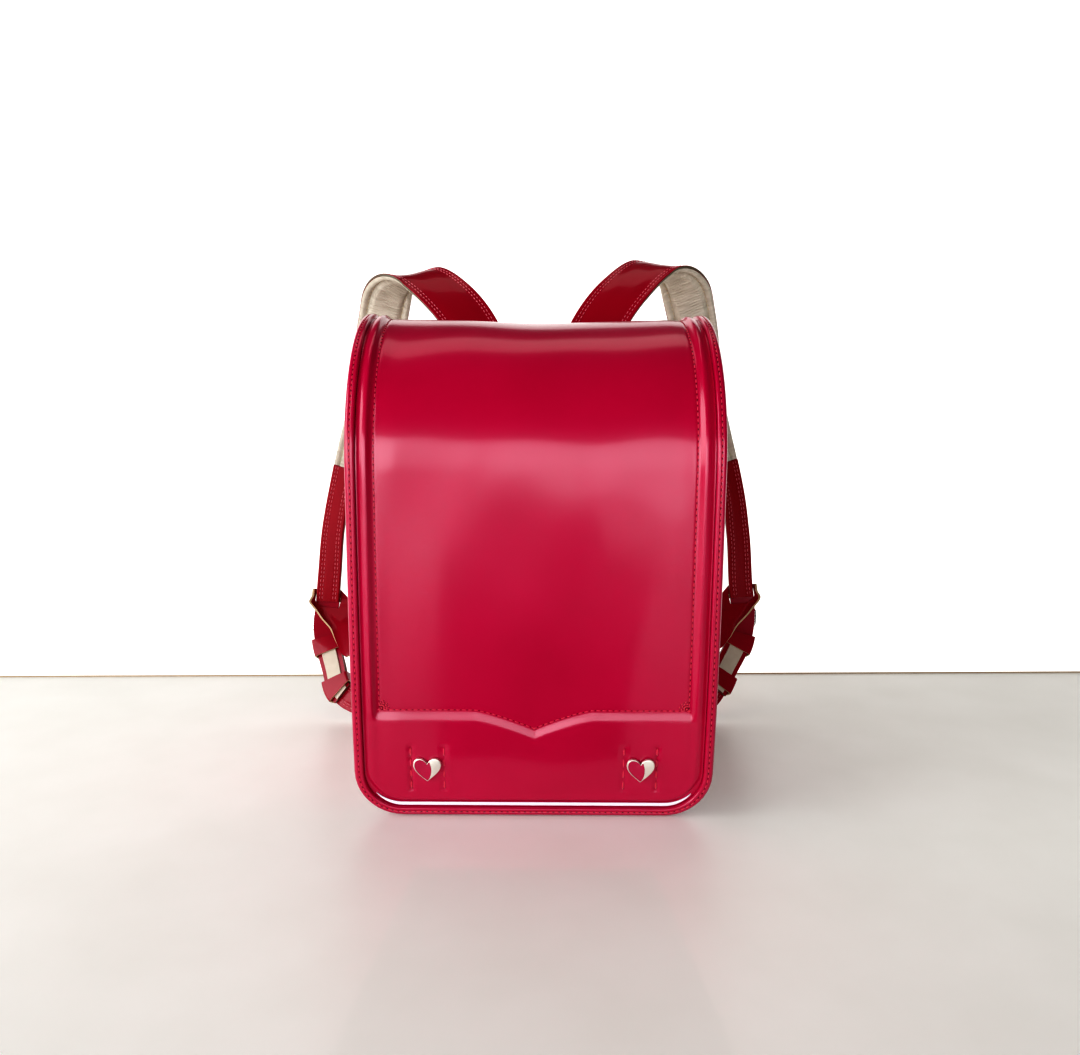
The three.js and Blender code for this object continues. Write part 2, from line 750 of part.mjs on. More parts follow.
// A strap's centre line from its root to its ring, with the lean of its width at each point
function strapTrack(side, rows) {
  const rowPoint = ({ out, back, up }) => new THREE.Vector3(
    side * out * strapSpread,
    rootFace + back * strapReach,
    rootHeight + up * (up > 0 ? strapRise : rootHeight - ringUp),
  );
  const root = new THREE.Vector3(side * rootOut, rootFace, rootHeight);
  const eyeOffset = strapThickness + clearance + strapThickness - eyeRadius;
  const ring = new THREE.Vector3(side * ringOut, ringPlane - eyeOffset, ringUp);
  const points = [root, ...rows.map(rowPoint), ring];
  const leans = [{ dip: rootDip, swing: 0 }, ...rows, { dip: ringDip, swing: 0 }];
  const leanPoints = leans.map(({ dip, swing }) => new THREE.Vector3(dip, swing, 0));
  const centre = new THREE.CatmullRomCurve3(points, false, 'catmullrom', 0.5);
  const lean = new THREE.CatmullRomCurve3(leanPoints, false, 'catmullrom', 0.5);
  centre.arcLengthDivisions = 800;
  const length = centre.getLength();
  const before = (distance) => length - distance;
  return { side, centre, lean, length, before };
}

// The point s along a strap, w towards its outer edge and h above its inner face
function onStrap({ side, centre, lean, length }, s, w, h) {
  const at = centre.getUtoTmapping(THREE.MathUtils.clamp(s / length, 0, 1));
  const tangent = centre.getTangent(at);
  const turn = lean.getPoint(at);
  const dip = THREE.MathUtils.degToRad(turn.x);
  const swing = THREE.MathUtils.degToRad(turn.y);
  const across = new THREE.Vector3(
    side * Math.cos(dip) * Math.cos(swing),
    Math.cos(dip) * Math.sin(swing),
    -Math.sin(dip),
  );
  across.addScaledVector(tangent, -across.dot(tangent)).normalize();
  const normal = tangent.clone().cross(across).multiplyScalar(-side);
  return centre.getPoint(at).addScaledVector(across, w).addScaledVector(normal, h);
}

function strapHalf(track, s) {
  const taper = smooth((s - track.before(taperStartToRing)) / (taperStartToRing - taperEndToRing));
  return THREE.MathUtils.lerp(strapWidth, tipWidth, taper) / 2;
}

// Every strap layer changes direction at the same stations, so that neighbours stay parallel
function stationsBetween(track, from, to) {
  const [tight, easy] = [9, 26];
  const bends = [
    { until: track.before(taperStartToRing), step: tight },
    { until: track.before(facingEndToRing), step: easy },
    { until: track.length, step: tight },
  ];
  const marks = [
    taperStartToRing, liningEndToRing, liningEndToRing - facingGap, facingEndToRing,
    lowerStrapToRing, backingToRing, tipEndToRing, 0,
  ];
  const ends = [0, liningStart, ...marks.map(track.before)];
  const stations = [];
  for (let at = 0; at < ends.length - 1; at += 1) {
    const { step } = bends.find(({ until }) => (ends[at] + ends[at + 1]) / 2 < until);
    const count = Math.max(1, Math.ceil((ends[at + 1] - ends[at]) / step));
    stations.push(...spread(ends[at], ends[at + 1], count).slice(0, -1));
  }
  return [...stations, track.length].filter((s) => s >= from - 1e-6 && s <= to + 1e-6);
}

// One leather layer of a strap between two heights; crown lowers its inner face along the middle
function strapLayer(track, from, to, low, high, { inset = 0, crown = 0 } = {}) {
  const stations = stationsBetween(track, from, to);
  const sheet = (height, middle) => stations.map((s) => {
    const half = strapHalf(track, s) - inset;
    const levels = [[-half, height], [0, middle], [half, height]];
    return levels.map(([w, h]) => onStrap(track, s, w, h));
  });
  return wallBetween(sheet(high, high), sheet(low, low - crown));
}

// An upright cylinder round a point
function uprightBar(centre, radius, length) {
  const geometry = new THREE.CylinderGeometry(radius, radius, length, 14);
  geometry.rotateX(Math.PI / 2).translate(centre.x, centre.y, centre.z);
  return toManifold(geometry);
}

// The lower strap, sewn into an eye round the ring's outer bar
function lowerStrap(track) {
  const low = strapThickness + clearance;
  const start = track.before(lowerStrapToRing);
  const band = strapLayer(track, start, track.length, low, low + strapThickness);
  const eyeCentre = new THREE.Vector3(track.side * ringOut, ringPlane, ringUp);
  const eye = uprightBar(eyeCentre, eyeRadius, tipWidth);
  const hole = uprightBar(eyeCentre, wireRadius + clearance, 2 * ringHeight);
  return fromManifold(toManifold(band).add(eye).subtract(hole));
}

// A wire bent into a rectangle with round corners, in X and Z
function wireRing(centre, width, height) {
  const [half, tall] = [width / 2 - wireBend, height / 2 - wireBend];
  const corners = [[half, tall, 0], [-half, tall, 1], [-half, -tall, 2], [half, -tall, 3]];
  const sections = corners.flatMap(([x, z, quarter]) => spread(0, Math.PI / 2, 3).map((turn) => {
    const angle = quarter * Math.PI / 2 + turn;
    const outward = new THREE.Vector3(Math.cos(angle), 0, Math.sin(angle));
    const middle = centre.clone().add(new THREE.Vector3(x, 0, z));
    middle.addScaledVector(outward, wireBend);
    return spread(0, 2 * Math.PI, 6).slice(0, -1).map((around) => {
      const point = middle.clone().addScaledVector(outward, wireRadius * Math.cos(around));
      return point.add(new THREE.Vector3(0, wireRadius * Math.sin(around), 0));
    });
  }));
  return loftThrough(sections, true);
}

// A leather tab on a face, folded into an eye round an upright wire
function eyeTab(eyeCentre, strip, height) {
  const box = new THREE.BoxGeometry(strip.x[1] - strip.x[0], strip.y[1] - strip.y[0], height);
  box.translate((strip.x[0] + strip.x[1]) / 2, (strip.y[0] + strip.y[1]) / 2, eyeCentre.z);
  const eye = uprightBar(eyeCentre, eyeRadius, height);
  const hole = uprightBar(eyeCentre, wireRadius + clearance, 2 * height);
  return fromManifold(toManifold(box).add(eye).subtract(hole));
}

// A guard that passes the strap through a slot, from the strap's outer side to its inner side
function buckleGuard(track) {
  const row = ({ along, half, shift, lift }, side, offset) => onStrap(
    track,
    track.before(slotToRing) + along * guardLength,
    side * half * guardHalf - shift * guardHalf,
    -lift * guardLift + offset,
  );
  const columns = spread(-1, 1, 4);
  const sheet = (offset) => guardRows.map((entry) => columns.map((side) => row(entry, side, offset)));
  const shell = wallBetween(sheet(guardThickness / 2), sheet(-guardThickness / 2));
  const half = tipWidth / 2 + keeperSlack;
  const low = -clearance - facingThickness - clearance;
  const high = strapThickness + clearance;
  const slot = track.before(slotToRing);
  const passage = spread(slot - guardPassage, slot + guardPassage, 8);
  const tunnel = (height) => passage.map((s) => [-half, half].map((w) => onStrap(track, s, w, height)));
  return fromManifold(toManifold(shell).subtract(toManifold(wallBetween(tunnel(high), tunnel(low)))));
}

// A loop of leather round the strap's tip and the lower strap
function keeper(track, middle) {
  const half = tipWidth / 2 + keeperSlack;
  const low = -clearance - backingThickness - keeperEase;
  const high = 2 * strapThickness + clearance + keeperEase;
  const ring = (s, grow) => {
    const [w, bottom, top] = [half + grow, low - grow, high + grow];
    const corners = [[-w, bottom], [w, bottom], [w, top], [-w, top]];
    return corners.map(([across, h]) => onStrap(track, s, across, h));
  };
  const stops = spread(middle - keeperLength / 2, middle + keeperLength / 2, 2);
  const outer = stops.map((s) => ring(s, keeperWall));
  const inner = stops.map((s) => ring(s, 0));
  return wallBetween(outer, inner, true);
}

// A plain metal frame on the outer side of the lower strap's top end
function buckleFrame(track) {
  const low = 2 * strapThickness + 2 * clearance;
  const start = track.before(lowerStrapToRing) + buckleDrop;
  const block = (inset, bottom, top) => {
    const half = buckleWidth / 2 - inset;
    const stops = spread(start + inset, start + buckleLength - inset, 2);
    const sheet = (h) => stops.map((s) => [-half, half].map((w) => onStrap(track, s, w, h)));
    return toManifold(wallBetween(sheet(top), sheet(bottom)));
  };
  const frame = block(0, low, low + buckleThickness);
  return fromManifold(frame.subtract(block(buckleBar, low - cutPast, low + buckleThickness + cutPast)));
}

// Everything on one side's strap, from its root to the ring on the back board
function addStrap(side, label) {
  const track = strapTrack(side, strapRows[label]);
  const name = (stem) => `${stem}_${label}`;
  const tip = track.before(tipEndToRing);
  addPiece(name('strap_outer'), strapLayer(track, 0, tip, 0, strapThickness), 'red');
  const layerTop = -clearance;
  const split = track.before(liningEndToRing);
  const crowned = { inset: liningInset, crown: liningThickness - liningRim };
  const lining = strapLayer(track, liningStart, split, layerTop - liningRim, layerTop, crowned);
  addPiece(name('strap_lining'), lining, 'cream');
  const facingEnd = track.before(facingEndToRing);
  const facingLow = layerTop - facingThickness;
  const facing = strapLayer(track, split + facingGap, facingEnd, facingLow, layerTop);
  addPiece(name('strap_facing'), facing, 'red');
  const backingStart = track.before(backingToRing);
  const backing = strapLayer(track, backingStart, tip, layerTop - backingThickness, layerTop);
  addPiece(name('strap_tip_backing'), backing, 'cream');
  addPiece(name('buckle_guard'), buckleGuard(track), 'darkRed');
  addPiece(name('buckle'), buckleFrame(track), 'silver');
  addPiece(name('keeper_upper'), keeper(track, track.before(upperKeeperToRing)), 'red');
  addPiece(name('keeper_lower'), keeper(track, track.before(lowerKeeperToRing)), 'red');
  addPiece(name('lower_strap'), lowerStrap(track), 'red');
  const ringCentre = new THREE.Vector3(side * (ringOut - ringWidth / 2), ringPlane, ringUp);
  addPiece(name('d_ring'), wireRing(ringCentre, ringWidth, ringHeight), 'silver');
  const eye = new THREE.Vector3(side * (ringOut - ringWidth), ringPlane, ringUp);
  const reach = [eye.x, eye.x - side * ringTabLength].sort((a, b) => a - b);
  const strip = { x: reach, y: [seatFace, seatFace + tabThickness] };
  addPiece(name('ring_tab'), eyeTab(eye, strip, tipWidth), 'red');
}

function addBody() {
  const half = gussetWidth / 2;
  const trough = troughShape(half, underside, bagHeight - gussetTopDrop, gussetCorner, gussetWall);
  addPiece('gusset', boardFrom(trough, -gussetDepth / 2, gussetDepth), 'red');
  const lap = frontBoardBinding;
  const frontTop = bagHeight - frontBoardDrop;
  const front = [half + lap / 2, underside - lap, frontTop, gussetCorner + lap, frontBoardTopCorner];
  const frontInside = boardShape(...insetBoard(front, lap + clearance));
  addPiece('front_panel', boardFrom(frontInside, boardFront, frontBoardWall), 'red');
  const frontFrame = frameShape(front, lap);
  addPiece('front_binding', boardFrom(frontFrame, boardFront, frontBoardWall), 'darkRed');
  const back = [backBoardWidth / 2, 0, bagHeight, backBoardCorner, backBoardTopCorner];
  const backInside = boardShape(...insetBoard(back, backBindingWidth + clearance));
  addPiece('back_panel', boardFrom(backInside, backBoardInner, backBoardWall), 'red');
  const backFrame = frameShape(back, backBindingWidth);
  const bindingFront = backBoardOuter - backBindingLap;
  addPiece('back_binding', boardFrom(backFrame, bindingFront, backBindingLap), 'red');
}

// Leans the pocket's front forwards with height, and leaves its back upright
function leanForward(geometry) {
  const position = geometry.attributes.position;
  for (let at = 0; at < position.count; at += 1) {
    const depthShare = Math.min(1, (pocketBack - position.getY(at)) / pocketDepth);
    const heightShare = (position.getZ(at) - underside) / (pocketTop - underside);
    position.setY(at, position.getY(at) - pocketLean * depthShare * heightShare);
  }
  return geometry;
}

function addPocket() {
  const half = pocketWidth / 2;
  const trough = troughShape(half, underside, pocketTop, gussetCorner, pocketWall);
  addPiece('pocket_gusset', leanForward(boardFrom(trough, pocketFront, pocketDepth)), 'red');
  const faceTop = pocketTop + pocketFaceLap;
  const face = boardShape(half + pocketFaceLap, underside, faceTop, gussetCorner, pocketFaceLap);
  addPiece('pocket_face', leanForward(boardFrom(face, pocketFaceFront, pocketFaceWall)), 'red');
}

function addFlap() {
  addPiece('flap', flapBoard(), 'red');
  addPiece('flap_binding', flapBinding(), 'red');
  addPiece('reflective_strip', reflectiveStrip(), 'reflective');
  addHeart(-1, 'left');
  addHeart(1, 'right');
  addPiece('closure_tab', closingBelt(), 'red');
  addPiece('lock', lockBody(), 'silver');
}

function addBack() {
  addPiece('back_cushion', backCushion(), 'red');
  const half = rootOut + strapWidth / 2;
  const shape = boardShape(half, plateBottom, plateBottom + plateHeight, plateCorner, plateCorner);
  addPiece('hinge_plate', boardFrom(shape, plateFront, plateThickness), 'red');
}

// The side ring stands out on the left, on a tab sewn to the gusset
function addSideRing() {
  const wall = -gussetWidth / 2 - clearance;
  const eye = new THREE.Vector3(wall - eyeRadius, -sideRingFront, sideRingUp);
  const strip = { x: [wall - tabThickness, wall], y: [eye.y, eye.y + sideTabLength] };
  addPiece('side_tab', eyeTab(eye, strip, sideTabHeight), 'red');
  const centre = eye.clone().add(new THREE.Vector3(-sideRingWidth / 2, 0, 0));
  addPiece('side_ring', wireRing(centre, sideRingWidth, sideRingHeight), 'silver');
}

addBody();
addPocket();
addFlap();
addBack();
addSideRing();
addStrap(-1, 'left');
addStrap(1, 'right');

// Centre the finished bag on its own footprint
const bounds = new THREE.Box3().setFromObject(ransel);
ransel.position.y = -(bounds.min.y + bounds.max.y) / 2;

export default ransel;
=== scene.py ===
import math

import bmesh
import bpy
import numpy as np
from mathutils import Matrix, Vector


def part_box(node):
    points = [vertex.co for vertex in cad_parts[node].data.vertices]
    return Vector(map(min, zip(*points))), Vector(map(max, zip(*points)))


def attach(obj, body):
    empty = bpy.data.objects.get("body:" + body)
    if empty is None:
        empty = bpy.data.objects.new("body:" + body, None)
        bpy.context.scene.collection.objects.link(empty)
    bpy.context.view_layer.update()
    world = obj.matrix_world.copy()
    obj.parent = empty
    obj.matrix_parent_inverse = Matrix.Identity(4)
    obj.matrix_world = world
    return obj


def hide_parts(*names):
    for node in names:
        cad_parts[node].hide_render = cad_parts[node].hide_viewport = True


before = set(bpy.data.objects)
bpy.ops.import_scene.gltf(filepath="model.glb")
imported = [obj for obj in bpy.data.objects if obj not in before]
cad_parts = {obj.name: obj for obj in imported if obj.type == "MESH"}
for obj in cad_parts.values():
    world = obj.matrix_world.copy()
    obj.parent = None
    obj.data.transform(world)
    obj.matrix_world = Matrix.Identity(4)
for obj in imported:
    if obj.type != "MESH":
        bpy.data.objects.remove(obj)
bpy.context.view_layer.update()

# A red leather school satchel that stands on the floor with its flap to the camera.
# Lengths are millimetres, measured from the middle of the main gusset; inFrame turns them to metres.
gussetLow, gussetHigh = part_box("gusset")
middleY = (gussetLow.y + gussetHigh.y) / 2


def inFrame(points):
    return np.asarray(points, float) / 1000 + np.array((0, middleY, 0))


def smooth(share):
    held = np.clip(share, 0, 1)
    return held * held * (3 - 2 * held)


def bump(distance, width):  # one soft hump of height 1 and about this width
    return np.exp(-(distance / width) ** 2)


def splineAt(points, u):  # a smooth curve through points, and its slope
    extended = np.concatenate([[2 * points[0] - points[1]], points, [2 * points[-1] - points[-2]]])
    place = np.clip(u, 0, 1) * (len(points) - 1)
    at = np.minimum(place.astype(int), len(points) - 2)
    t = (place - at)[:, None]
    p0, p1, p2, p3 = (extended[at + step] for step in range(4))
    m1, m2 = (p2 - p0) / 2, (p3 - p1) / 2
    value = (2 * t ** 3 - 3 * t ** 2 + 1) * p1 + (t ** 3 - 2 * t ** 2 + t) * m1
    value = value + (-2 * t ** 3 + 3 * t ** 2) * p2 + (t ** 3 - t ** 2) * m2
    slope = (6 * t ** 2 - 6 * t) * (p1 - p2) + (3 * t ** 2 - 4 * t + 1) * m1 + (3 * t ** 2 - 2 * t) * m2
    return value, slope


def roundedBox(half, low, high, radius, steps):  # points round it, and the way out at each
    corners = ((half - radius, high - radius), (radius - half, high - radius),
               (radius - half, low + radius), (half - radius, low + radius))
    points = []
    for quarter, (x, z) in enumerate(corners):
        for turn in np.linspace(0, math.pi / 2, steps) + quarter * math.pi / 2:
            out = (math.cos(turn), math.sin(turn))
            points.append((x + radius * out[0], z + radius * out[1], *out))
    return np.array(points)


# Meshes

mergeDistance = 2e-6


def linkPiece(name, mesh):
    piece = bpy.data.objects.new(name, mesh)
    bpy.context.scene.collection.objects.link(piece)
    return piece


def cleanMesh(mesh, sharpAngle=40, flatAngle=None):
    work = bmesh.new()
    work.from_mesh(mesh)
    bmesh.ops.remove_doubles(work, verts=work.verts, dist=mergeDistance)
    if flatAngle:
        flat = math.radians(flatAngle)
        bmesh.ops.dissolve_limit(work, angle_limit=flat, verts=work.verts, edges=work.edges)
    bmesh.ops.recalc_face_normals(work, faces=work.faces)
    work.to_mesh(mesh)
    work.free()
    mesh.shade_smooth()
    mesh.set_sharp_from_angle(angle=math.radians(sharpAngle))


def makePiece(name, points, faces, materials, slots=None, uv=None, sharpAngle=40):
    mesh = bpy.data.meshes.new(name)
    mesh.from_pydata(inFrame(points).tolist(), [], faces)
    for material in materials:
        mesh.materials.append(material)
    if slots is not None:
        mesh.polygons.foreach_set("material_index", slots)
    if uv is not None:
        layer = mesh.uv_layers.new(name="lengthAndWidth")
        corners = np.zeros(len(mesh.loops), int)
        mesh.loops.foreach_get("vertex_index", corners)
        layer.data.foreach_set("uv", np.asarray(uv, float)[corners].ravel())
    cleanMesh(mesh, sharpAngle)
    return linkPiece(name, mesh)


def gridFaces(rows, columns, wrapped=False):
    faces = []
    for row in range(rows - 1):
        for column in range(columns if wrapped else columns - 1):
            after = (column + 1) % columns
            low, high = row * columns, (row + 1) * columns
            faces.append([low + column, low + after, high + after, high + column])
    return faces


def closeSheets(name, outer, inner, faces, materials, uv=None, sharpAngle=40):  # two faces and a rim
    outer, inner = (np.asarray(sheet, float).reshape(-1, 3) for sheet in (outer, inner))
    count = len(outer)
    edges = set()
    for face in faces:
        edges.update(zip(face, face[1:] + face[:1]))
    rim = [[b, a, a + count, b + count] for a, b in edges if (b, a) not in edges]
    back = [[corner + count for corner in reversed(face)] for face in faces]
    slots = [0] * len(faces) + [1] * len(back) + [2] * len(rim)
    order = list(dict.fromkeys(materials))
    slots = [order.index(materials[slot]) for slot in slots]
    everyUv = None if uv is None else np.concatenate([uv, uv])
    points = np.concatenate([outer, inner])
    return makePiece(name, points, faces + back + rim, order, slots, everyUv, sharpAngle)


def loftPiece(name, sections, material, closed=False, sharpAngle=40):
    sections = np.asarray(sections, float)
    rows, columns = sections.shape[:2]
    faces = gridFaces(rows, columns, wrapped=True)
    last = (rows - 1) * columns
    if closed:
        for at in range(columns):
            after = (at + 1) % columns
            faces.append([last + at, last + after, after, at])
    else:
        faces += [list(range(columns))[::-1], list(range(last, last + columns))]
    return makePiece(name, sections.reshape(-1, 3), faces, [material], sharpAngle=sharpAngle)


def bake(piece):  # turns live modifiers into plain mesh
    result = piece.evaluated_get(bpy.context.evaluated_depsgraph_get())
    mesh = bpy.data.meshes.new_from_object(result)
    old, piece.data = piece.data, mesh
    piece.modifiers.clear()
    bpy.data.meshes.remove(old)
    mesh.name = piece.name
    return piece


rounding = {"limit": 35, "sharp": 50}


def roundEdges(piece, width, segments=3):
    bevel = piece.modifiers.new("roundedEdges", "BEVEL")
    bevel.width, bevel.segments, bevel.limit_method = width / 1000, segments, "ANGLE"
    bevel.angle_limit = math.radians(rounding["limit"])
    bevel.harden_normals = False
    bake(piece)
    piece.data.shade_smooth()
    piece.data.set_sharp_from_angle(angle=math.radians(rounding["sharp"]))
    return piece


def combine(piece, other, operation):  # a boolean, done at once; the other mesh is used up
    cut = piece.modifiers.new("cut", "BOOLEAN")
    cut.operation, cut.solver, cut.object = operation, "EXACT", other
    bake(piece)
    bpy.data.objects.remove(other)
    return piece


def dress(piece, slot, *nodes):
    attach(piece, "root")
    if nodes:
        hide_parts(*nodes)
    return piece


# Materials

def tint(hexCode):  # sRGB hex to linear
    shares = [int(hexCode[at:at + 2], 16) / 255 for at in (1, 3, 5)]
    return tuple(s / 12.92 if s <= 0.04045 else ((s + 0.055) / 1.055) ** 2.4 for s in shares) + (1.0,)


def addNode(tree, kind, inputs=None, **settings):
    node = tree.nodes.new(kind)
    for key, value in settings.items():
        setattr(node, key, value)
    for socket, value in (inputs or {}).items():
        if isinstance(value, bpy.types.NodeSocket):
            tree.links.new(value, node.inputs[socket])
        else:
            node.inputs[socket].default_value = value
    return node


def perMetre(millimetres):  # the scale of a pattern whose feature has this size
    return 1000 / millimetres


def newSurface(name, **constants):
    material = bpy.data.materials.new(name)
    material.use_nodes = True
    tree = material.node_tree
    shader = tree.nodes["Principled BSDF"]
    for socket, value in constants.items():
        shader.inputs[socket.replace("_", " ")].default_value = value
    return material, tree, shader


def patternSpace(tree, stretch=(1, 1, 1)):
    spot = addNode(tree, "ShaderNodeTexCoord")
    place = addNode(tree, "ShaderNodeMapping", {"Vector": spot.outputs["Object"], "Scale": stretch})
    return place.outputs["Vector"]


def colourAndGloss(tree, shader, tones, colours, gloss, roughness):  # two tones and an uneven shine
    mix = addNode(tree, "ShaderNodeMix", {"Factor": tones}, data_type="RGBA")
    mix.inputs[6].default_value, mix.inputs[7].default_value = map(tint, colours)
    tree.links.new(mix.outputs[2], shader.inputs["Base Color"])
    low, high = roughness
    finish = addNode(tree, "ShaderNodeMapRange", {"Value": gloss, "To Min": low, "To Max": high})
    tree.links.new(finish.outputs["Result"], shader.inputs["Roughness"])


def emboss(tree, shader, layers):  # each layer's height, strength and depth in mm, the finest first
    wiring = {}
    for height, strength, depth in layers:
        wiring.update({"Height": height, "Strength": strength, "Distance": depth / 1000})
        wiring["Normal"] = addNode(tree, "ShaderNodeBump", wiring).outputs["Normal"]
    tree.links.new(wiring["Normal"], shader.inputs["Normal"])


def leather(name, colours, look):  # polished cowhide: a satin body under a clear finish, barely any grain
    material, tree, shader = newSurface(
        name, Coat_Weight=look["coat"], Coat_Roughness=look["coatRoughness"], IOR=look["ior"])
    space = patternSpace(tree)
    drawn = patternSpace(tree, (1, 1, look["streakStretch"]))
    cloud = addNode(tree, "ShaderNodeTexNoise", {
        "Vector": space, "Scale": perMetre(look["cloud"]), "Detail": 3})
    streaks = addNode(tree, "ShaderNodeTexNoise", {
        "Vector": drawn, "Scale": perMetre(look["streak"]), "Detail": 2})
    grain = addNode(tree, "ShaderNodeTexVoronoi", {"Vector": space, "Scale": perMetre(look["grain"])})
    colourAndGloss(tree, shader, cloud.outputs["Fac"], colours, streaks.outputs["Fac"], look["roughness"])
    emboss(tree, shader, [(grain.outputs["Distance"], look["grainStrength"], look["depth"]),
                          (streaks.outputs["Fac"], look["streakStrength"], look["depth"])])
    return material


lining = {"crease": 3.2, "creaseAcross": 26, "creaseStrength": 0.7, "creaseDepth": 1.4,
          "grain": 1.1, "grainStrength": 0.25, "grainDepth": 0.4, "roughness": (0.62, 0.48)}


def padLining(name, colours):  # soft cream leather, creased across the strap where it bends, its crease hollows painted darker as shade
    material, tree, shader = newSurface(name, IOR=1.45)
    along = addNode(tree, "ShaderNodeUVMap", uv_map="lengthAndWidth")
    drawn = addNode(tree, "ShaderNodeMapping", {
        "Vector": along.outputs["UV"], "Scale": (1 / lining["crease"], 1 / lining["creaseAcross"], 1)})
    crease = addNode(tree, "ShaderNodeTexNoise", {
        "Vector": drawn.outputs["Vector"], "Scale": 1, "Detail": 3, "Distortion": 0.35})
    grain = addNode(tree, "ShaderNodeTexVoronoi", {
        "Vector": patternSpace(tree), "Scale": perMetre(lining["grain"])})
    pattern = crease.outputs["Fac"]
    # the crease pattern sets colour and bump alike, so its hollows take the darker tone: painted shade
    colourAndGloss(tree, shader, pattern, colours, pattern, lining["roughness"])
    emboss(tree, shader, [(grain.outputs["Distance"], lining["grainStrength"], lining["grainDepth"]),
                          (pattern, lining["creaseStrength"], lining["creaseDepth"])])
    return material


def plainSurface(name, colours, roughness, speck, strength=0.1, **constants):  # a fine uneven face
    material, tree, shader = newSurface(name, **constants)
    noise = addNode(tree, "ShaderNodeTexNoise", {
        "Vector": patternSpace(tree), "Scale": perMetre(speck), "Detail": 3})
    pattern = noise.outputs["Fac"]
    spread = (roughness * 0.85, min(1, roughness * 1.15))
    colourAndGloss(tree, shader, pattern, colours, pattern, spread)
    emboss(tree, shader, [(pattern, strength, 0.3)])
    return material


polished = {"ior": 1.4, "coat": 0.75, "coatRoughness": 0.14, "roughness": (0.26, 0.35), "cloud": 70,
            "grain": 1.0, "grainStrength": 0.035, "streak": 1.6, "streakStretch": 0.12,
            "streakStrength": 0.015, "depth": 0.4}
strapLook = {**polished, "ior": 1.3, "coat": 0.4, "coatRoughness": 0.09, "roughness": (0.36, 0.45)}
facingLook = {**polished, "ior": 1.3, "coat": 0, "grainStrength": 0.1, "roughness": (0.46, 0.55)}
padLook = {**polished, "coat": 0.1, "coatRoughness": 0.3, "grain": 1.4, "grainStrength": 0.2,
           "roughness": (0.41, 0.5)}

# A deep red body with broad soft window lights, as on the flap and the walls
redLeather = leather("polishedRedCowhide", ("#B40048", "#A6003E"), polished)
# Darker, with small sharp lights over a dull body
strapLeather = leather("polishedDarkRedCowhide", ("#9E002C", "#8A0024"), strapLook)
# The rubbed inner side of the straps, almost without shine
facingLeather = leather("rubbedDarkRedCowhide", ("#980022", "#84001A"), facingLook)
# Pebbled and soft, with a wide dull sheen
cushionLeather = leather("softRedCowhide", ("#A20A28", "#8E0620"), padLook)
# Matt cream that crumples where the strap bends; its darker tone is painted shade in the crease hollows
creamLeather = padLining("creamLiningWithPaintedCreaseShade", ("#A39A8A", "#D6D0C2"))
# Coated split leather on the back of the strap's tip: smooth and waxy
backingLeather = plainSurface("creamCoatedLeather", ("#C9C2B2", "#BAB2A0"), 0.35, 6, IOR=1.5)
# Brushed-on paint that closes the cut edges of the straps: satin and a little uneven
edgePaint = plainSurface("taupeEdgePaint", ("#6E6858", "#5E5848"), 0.5, 2, IOR=1.45)
# Bare cut leather, fibrous and dry
beigeEdge = plainSurface("beigeCutEdge", ("#BFA988", "#AB9474"), 0.6, 1.5, IOR=1.45)
# Twisted threads with a faint fuzz, a tone lighter than what they sew; on the red thread the lighter pink is
# partly thread colour and partly a painted highlight
redThread = plainSurface(
    "redPolyesterThread", ("#D8405C", "#BE2444"), 0.45, 0.8, IOR=1.5, Sheen_Weight=0.3)
paleThread = plainSurface(
    "paleRedThread", ("#D87A84", "#C45E6C"), 0.5, 0.8, IOR=1.5, Sheen_Weight=0.3)
creamThread = plainSurface("creamThread", ("#D8CDB0", "#BBAE8E"), 0.6, 0.8, IOR=1.5, Sheen_Weight=0.2)
# Dark dots between the stitches: painted shade of the needle holes
holeShadePaint = plainSurface("needleHoleShadePaint", ("#6A0014", "#580010"), 0.8, 0.8, IOR=1.45)
# Nickel mirrors with a slight haze
platedMetal = plainSurface("brightNickelPlate", ("#DEDEDA", "#D2D2CE"), 0.2, 9, 0.03, Metallic=1.0)
# Silver plate, blasted so that it stays light from every side
heartMetal = plainSurface("satinSilverPlate", ("#F8F6EC", "#EEECE0"), 0.5, 3, 0.05, Metallic=1.0)
# Fired glass enamel, smooth and wet-looking
enamel = plainSurface(
    "redEnamel", ("#B00C4A", "#A60A44"), 0.12, 12, 0.02, IOR=1.52, Coat_Weight=0.5)
# Glass beads under film: white with a fine sparkle
reflectiveTape = plainSurface("glassBeadTape", ("#F0EEF6", "#E2E0EA"), 0.4, 0.7, 0.15, IOR=1.5)
print("materials made")


# The flap

flap = {
    "width": 254, "wall": 4, "corner": 34, "face": -112.2, "crest": 356, "frontReach": 100, "frontDrop": 108,
    "rearDrop": 45, "tail": 68.6, "tailLength": 36, "hemLift": 0.5, "hemTuck": 13,
    "binding": 7, "bindingRise": 3.5, "clearance": 0.3, "groove": 0.6, "sideGroove": 1.2, "hemGroove": 4.2,
    "grooveTurn": 16, "rollRise": 3, "rollTop": 14, "rollFoot": 18.3, "rollSink": 0.8, "footRise": 2,
    "footHeight": 80, "footSlope": 7, "scallopDrop": 13.8, "scallopHalf": 41.6, "scallopPower": 1.3,
    "seam": 19.2, "seamUp": 1.2, "seamDip": 0.45, "seamWidth": 0.8,
    "crestSag": 2.2, "sagLength": 46, "sagWidth": 105, "wave": 0.4, "waveStart": 12,
}


def bezier(corners, t):
    weights = ((1 - t) ** 3, 3 * t * (1 - t) ** 2, 3 * t * t * (1 - t), t ** 3)
    return sum(weight * np.array(corner) for weight, corner in zip(weights, corners))


def quarterTurn(centre, start, reach, drop):
    turn = np.linspace(start, start - math.pi / 2, 400)
    return centre + np.stack([np.cos(turn), np.sin(turn)], 1) * (reach, drop)


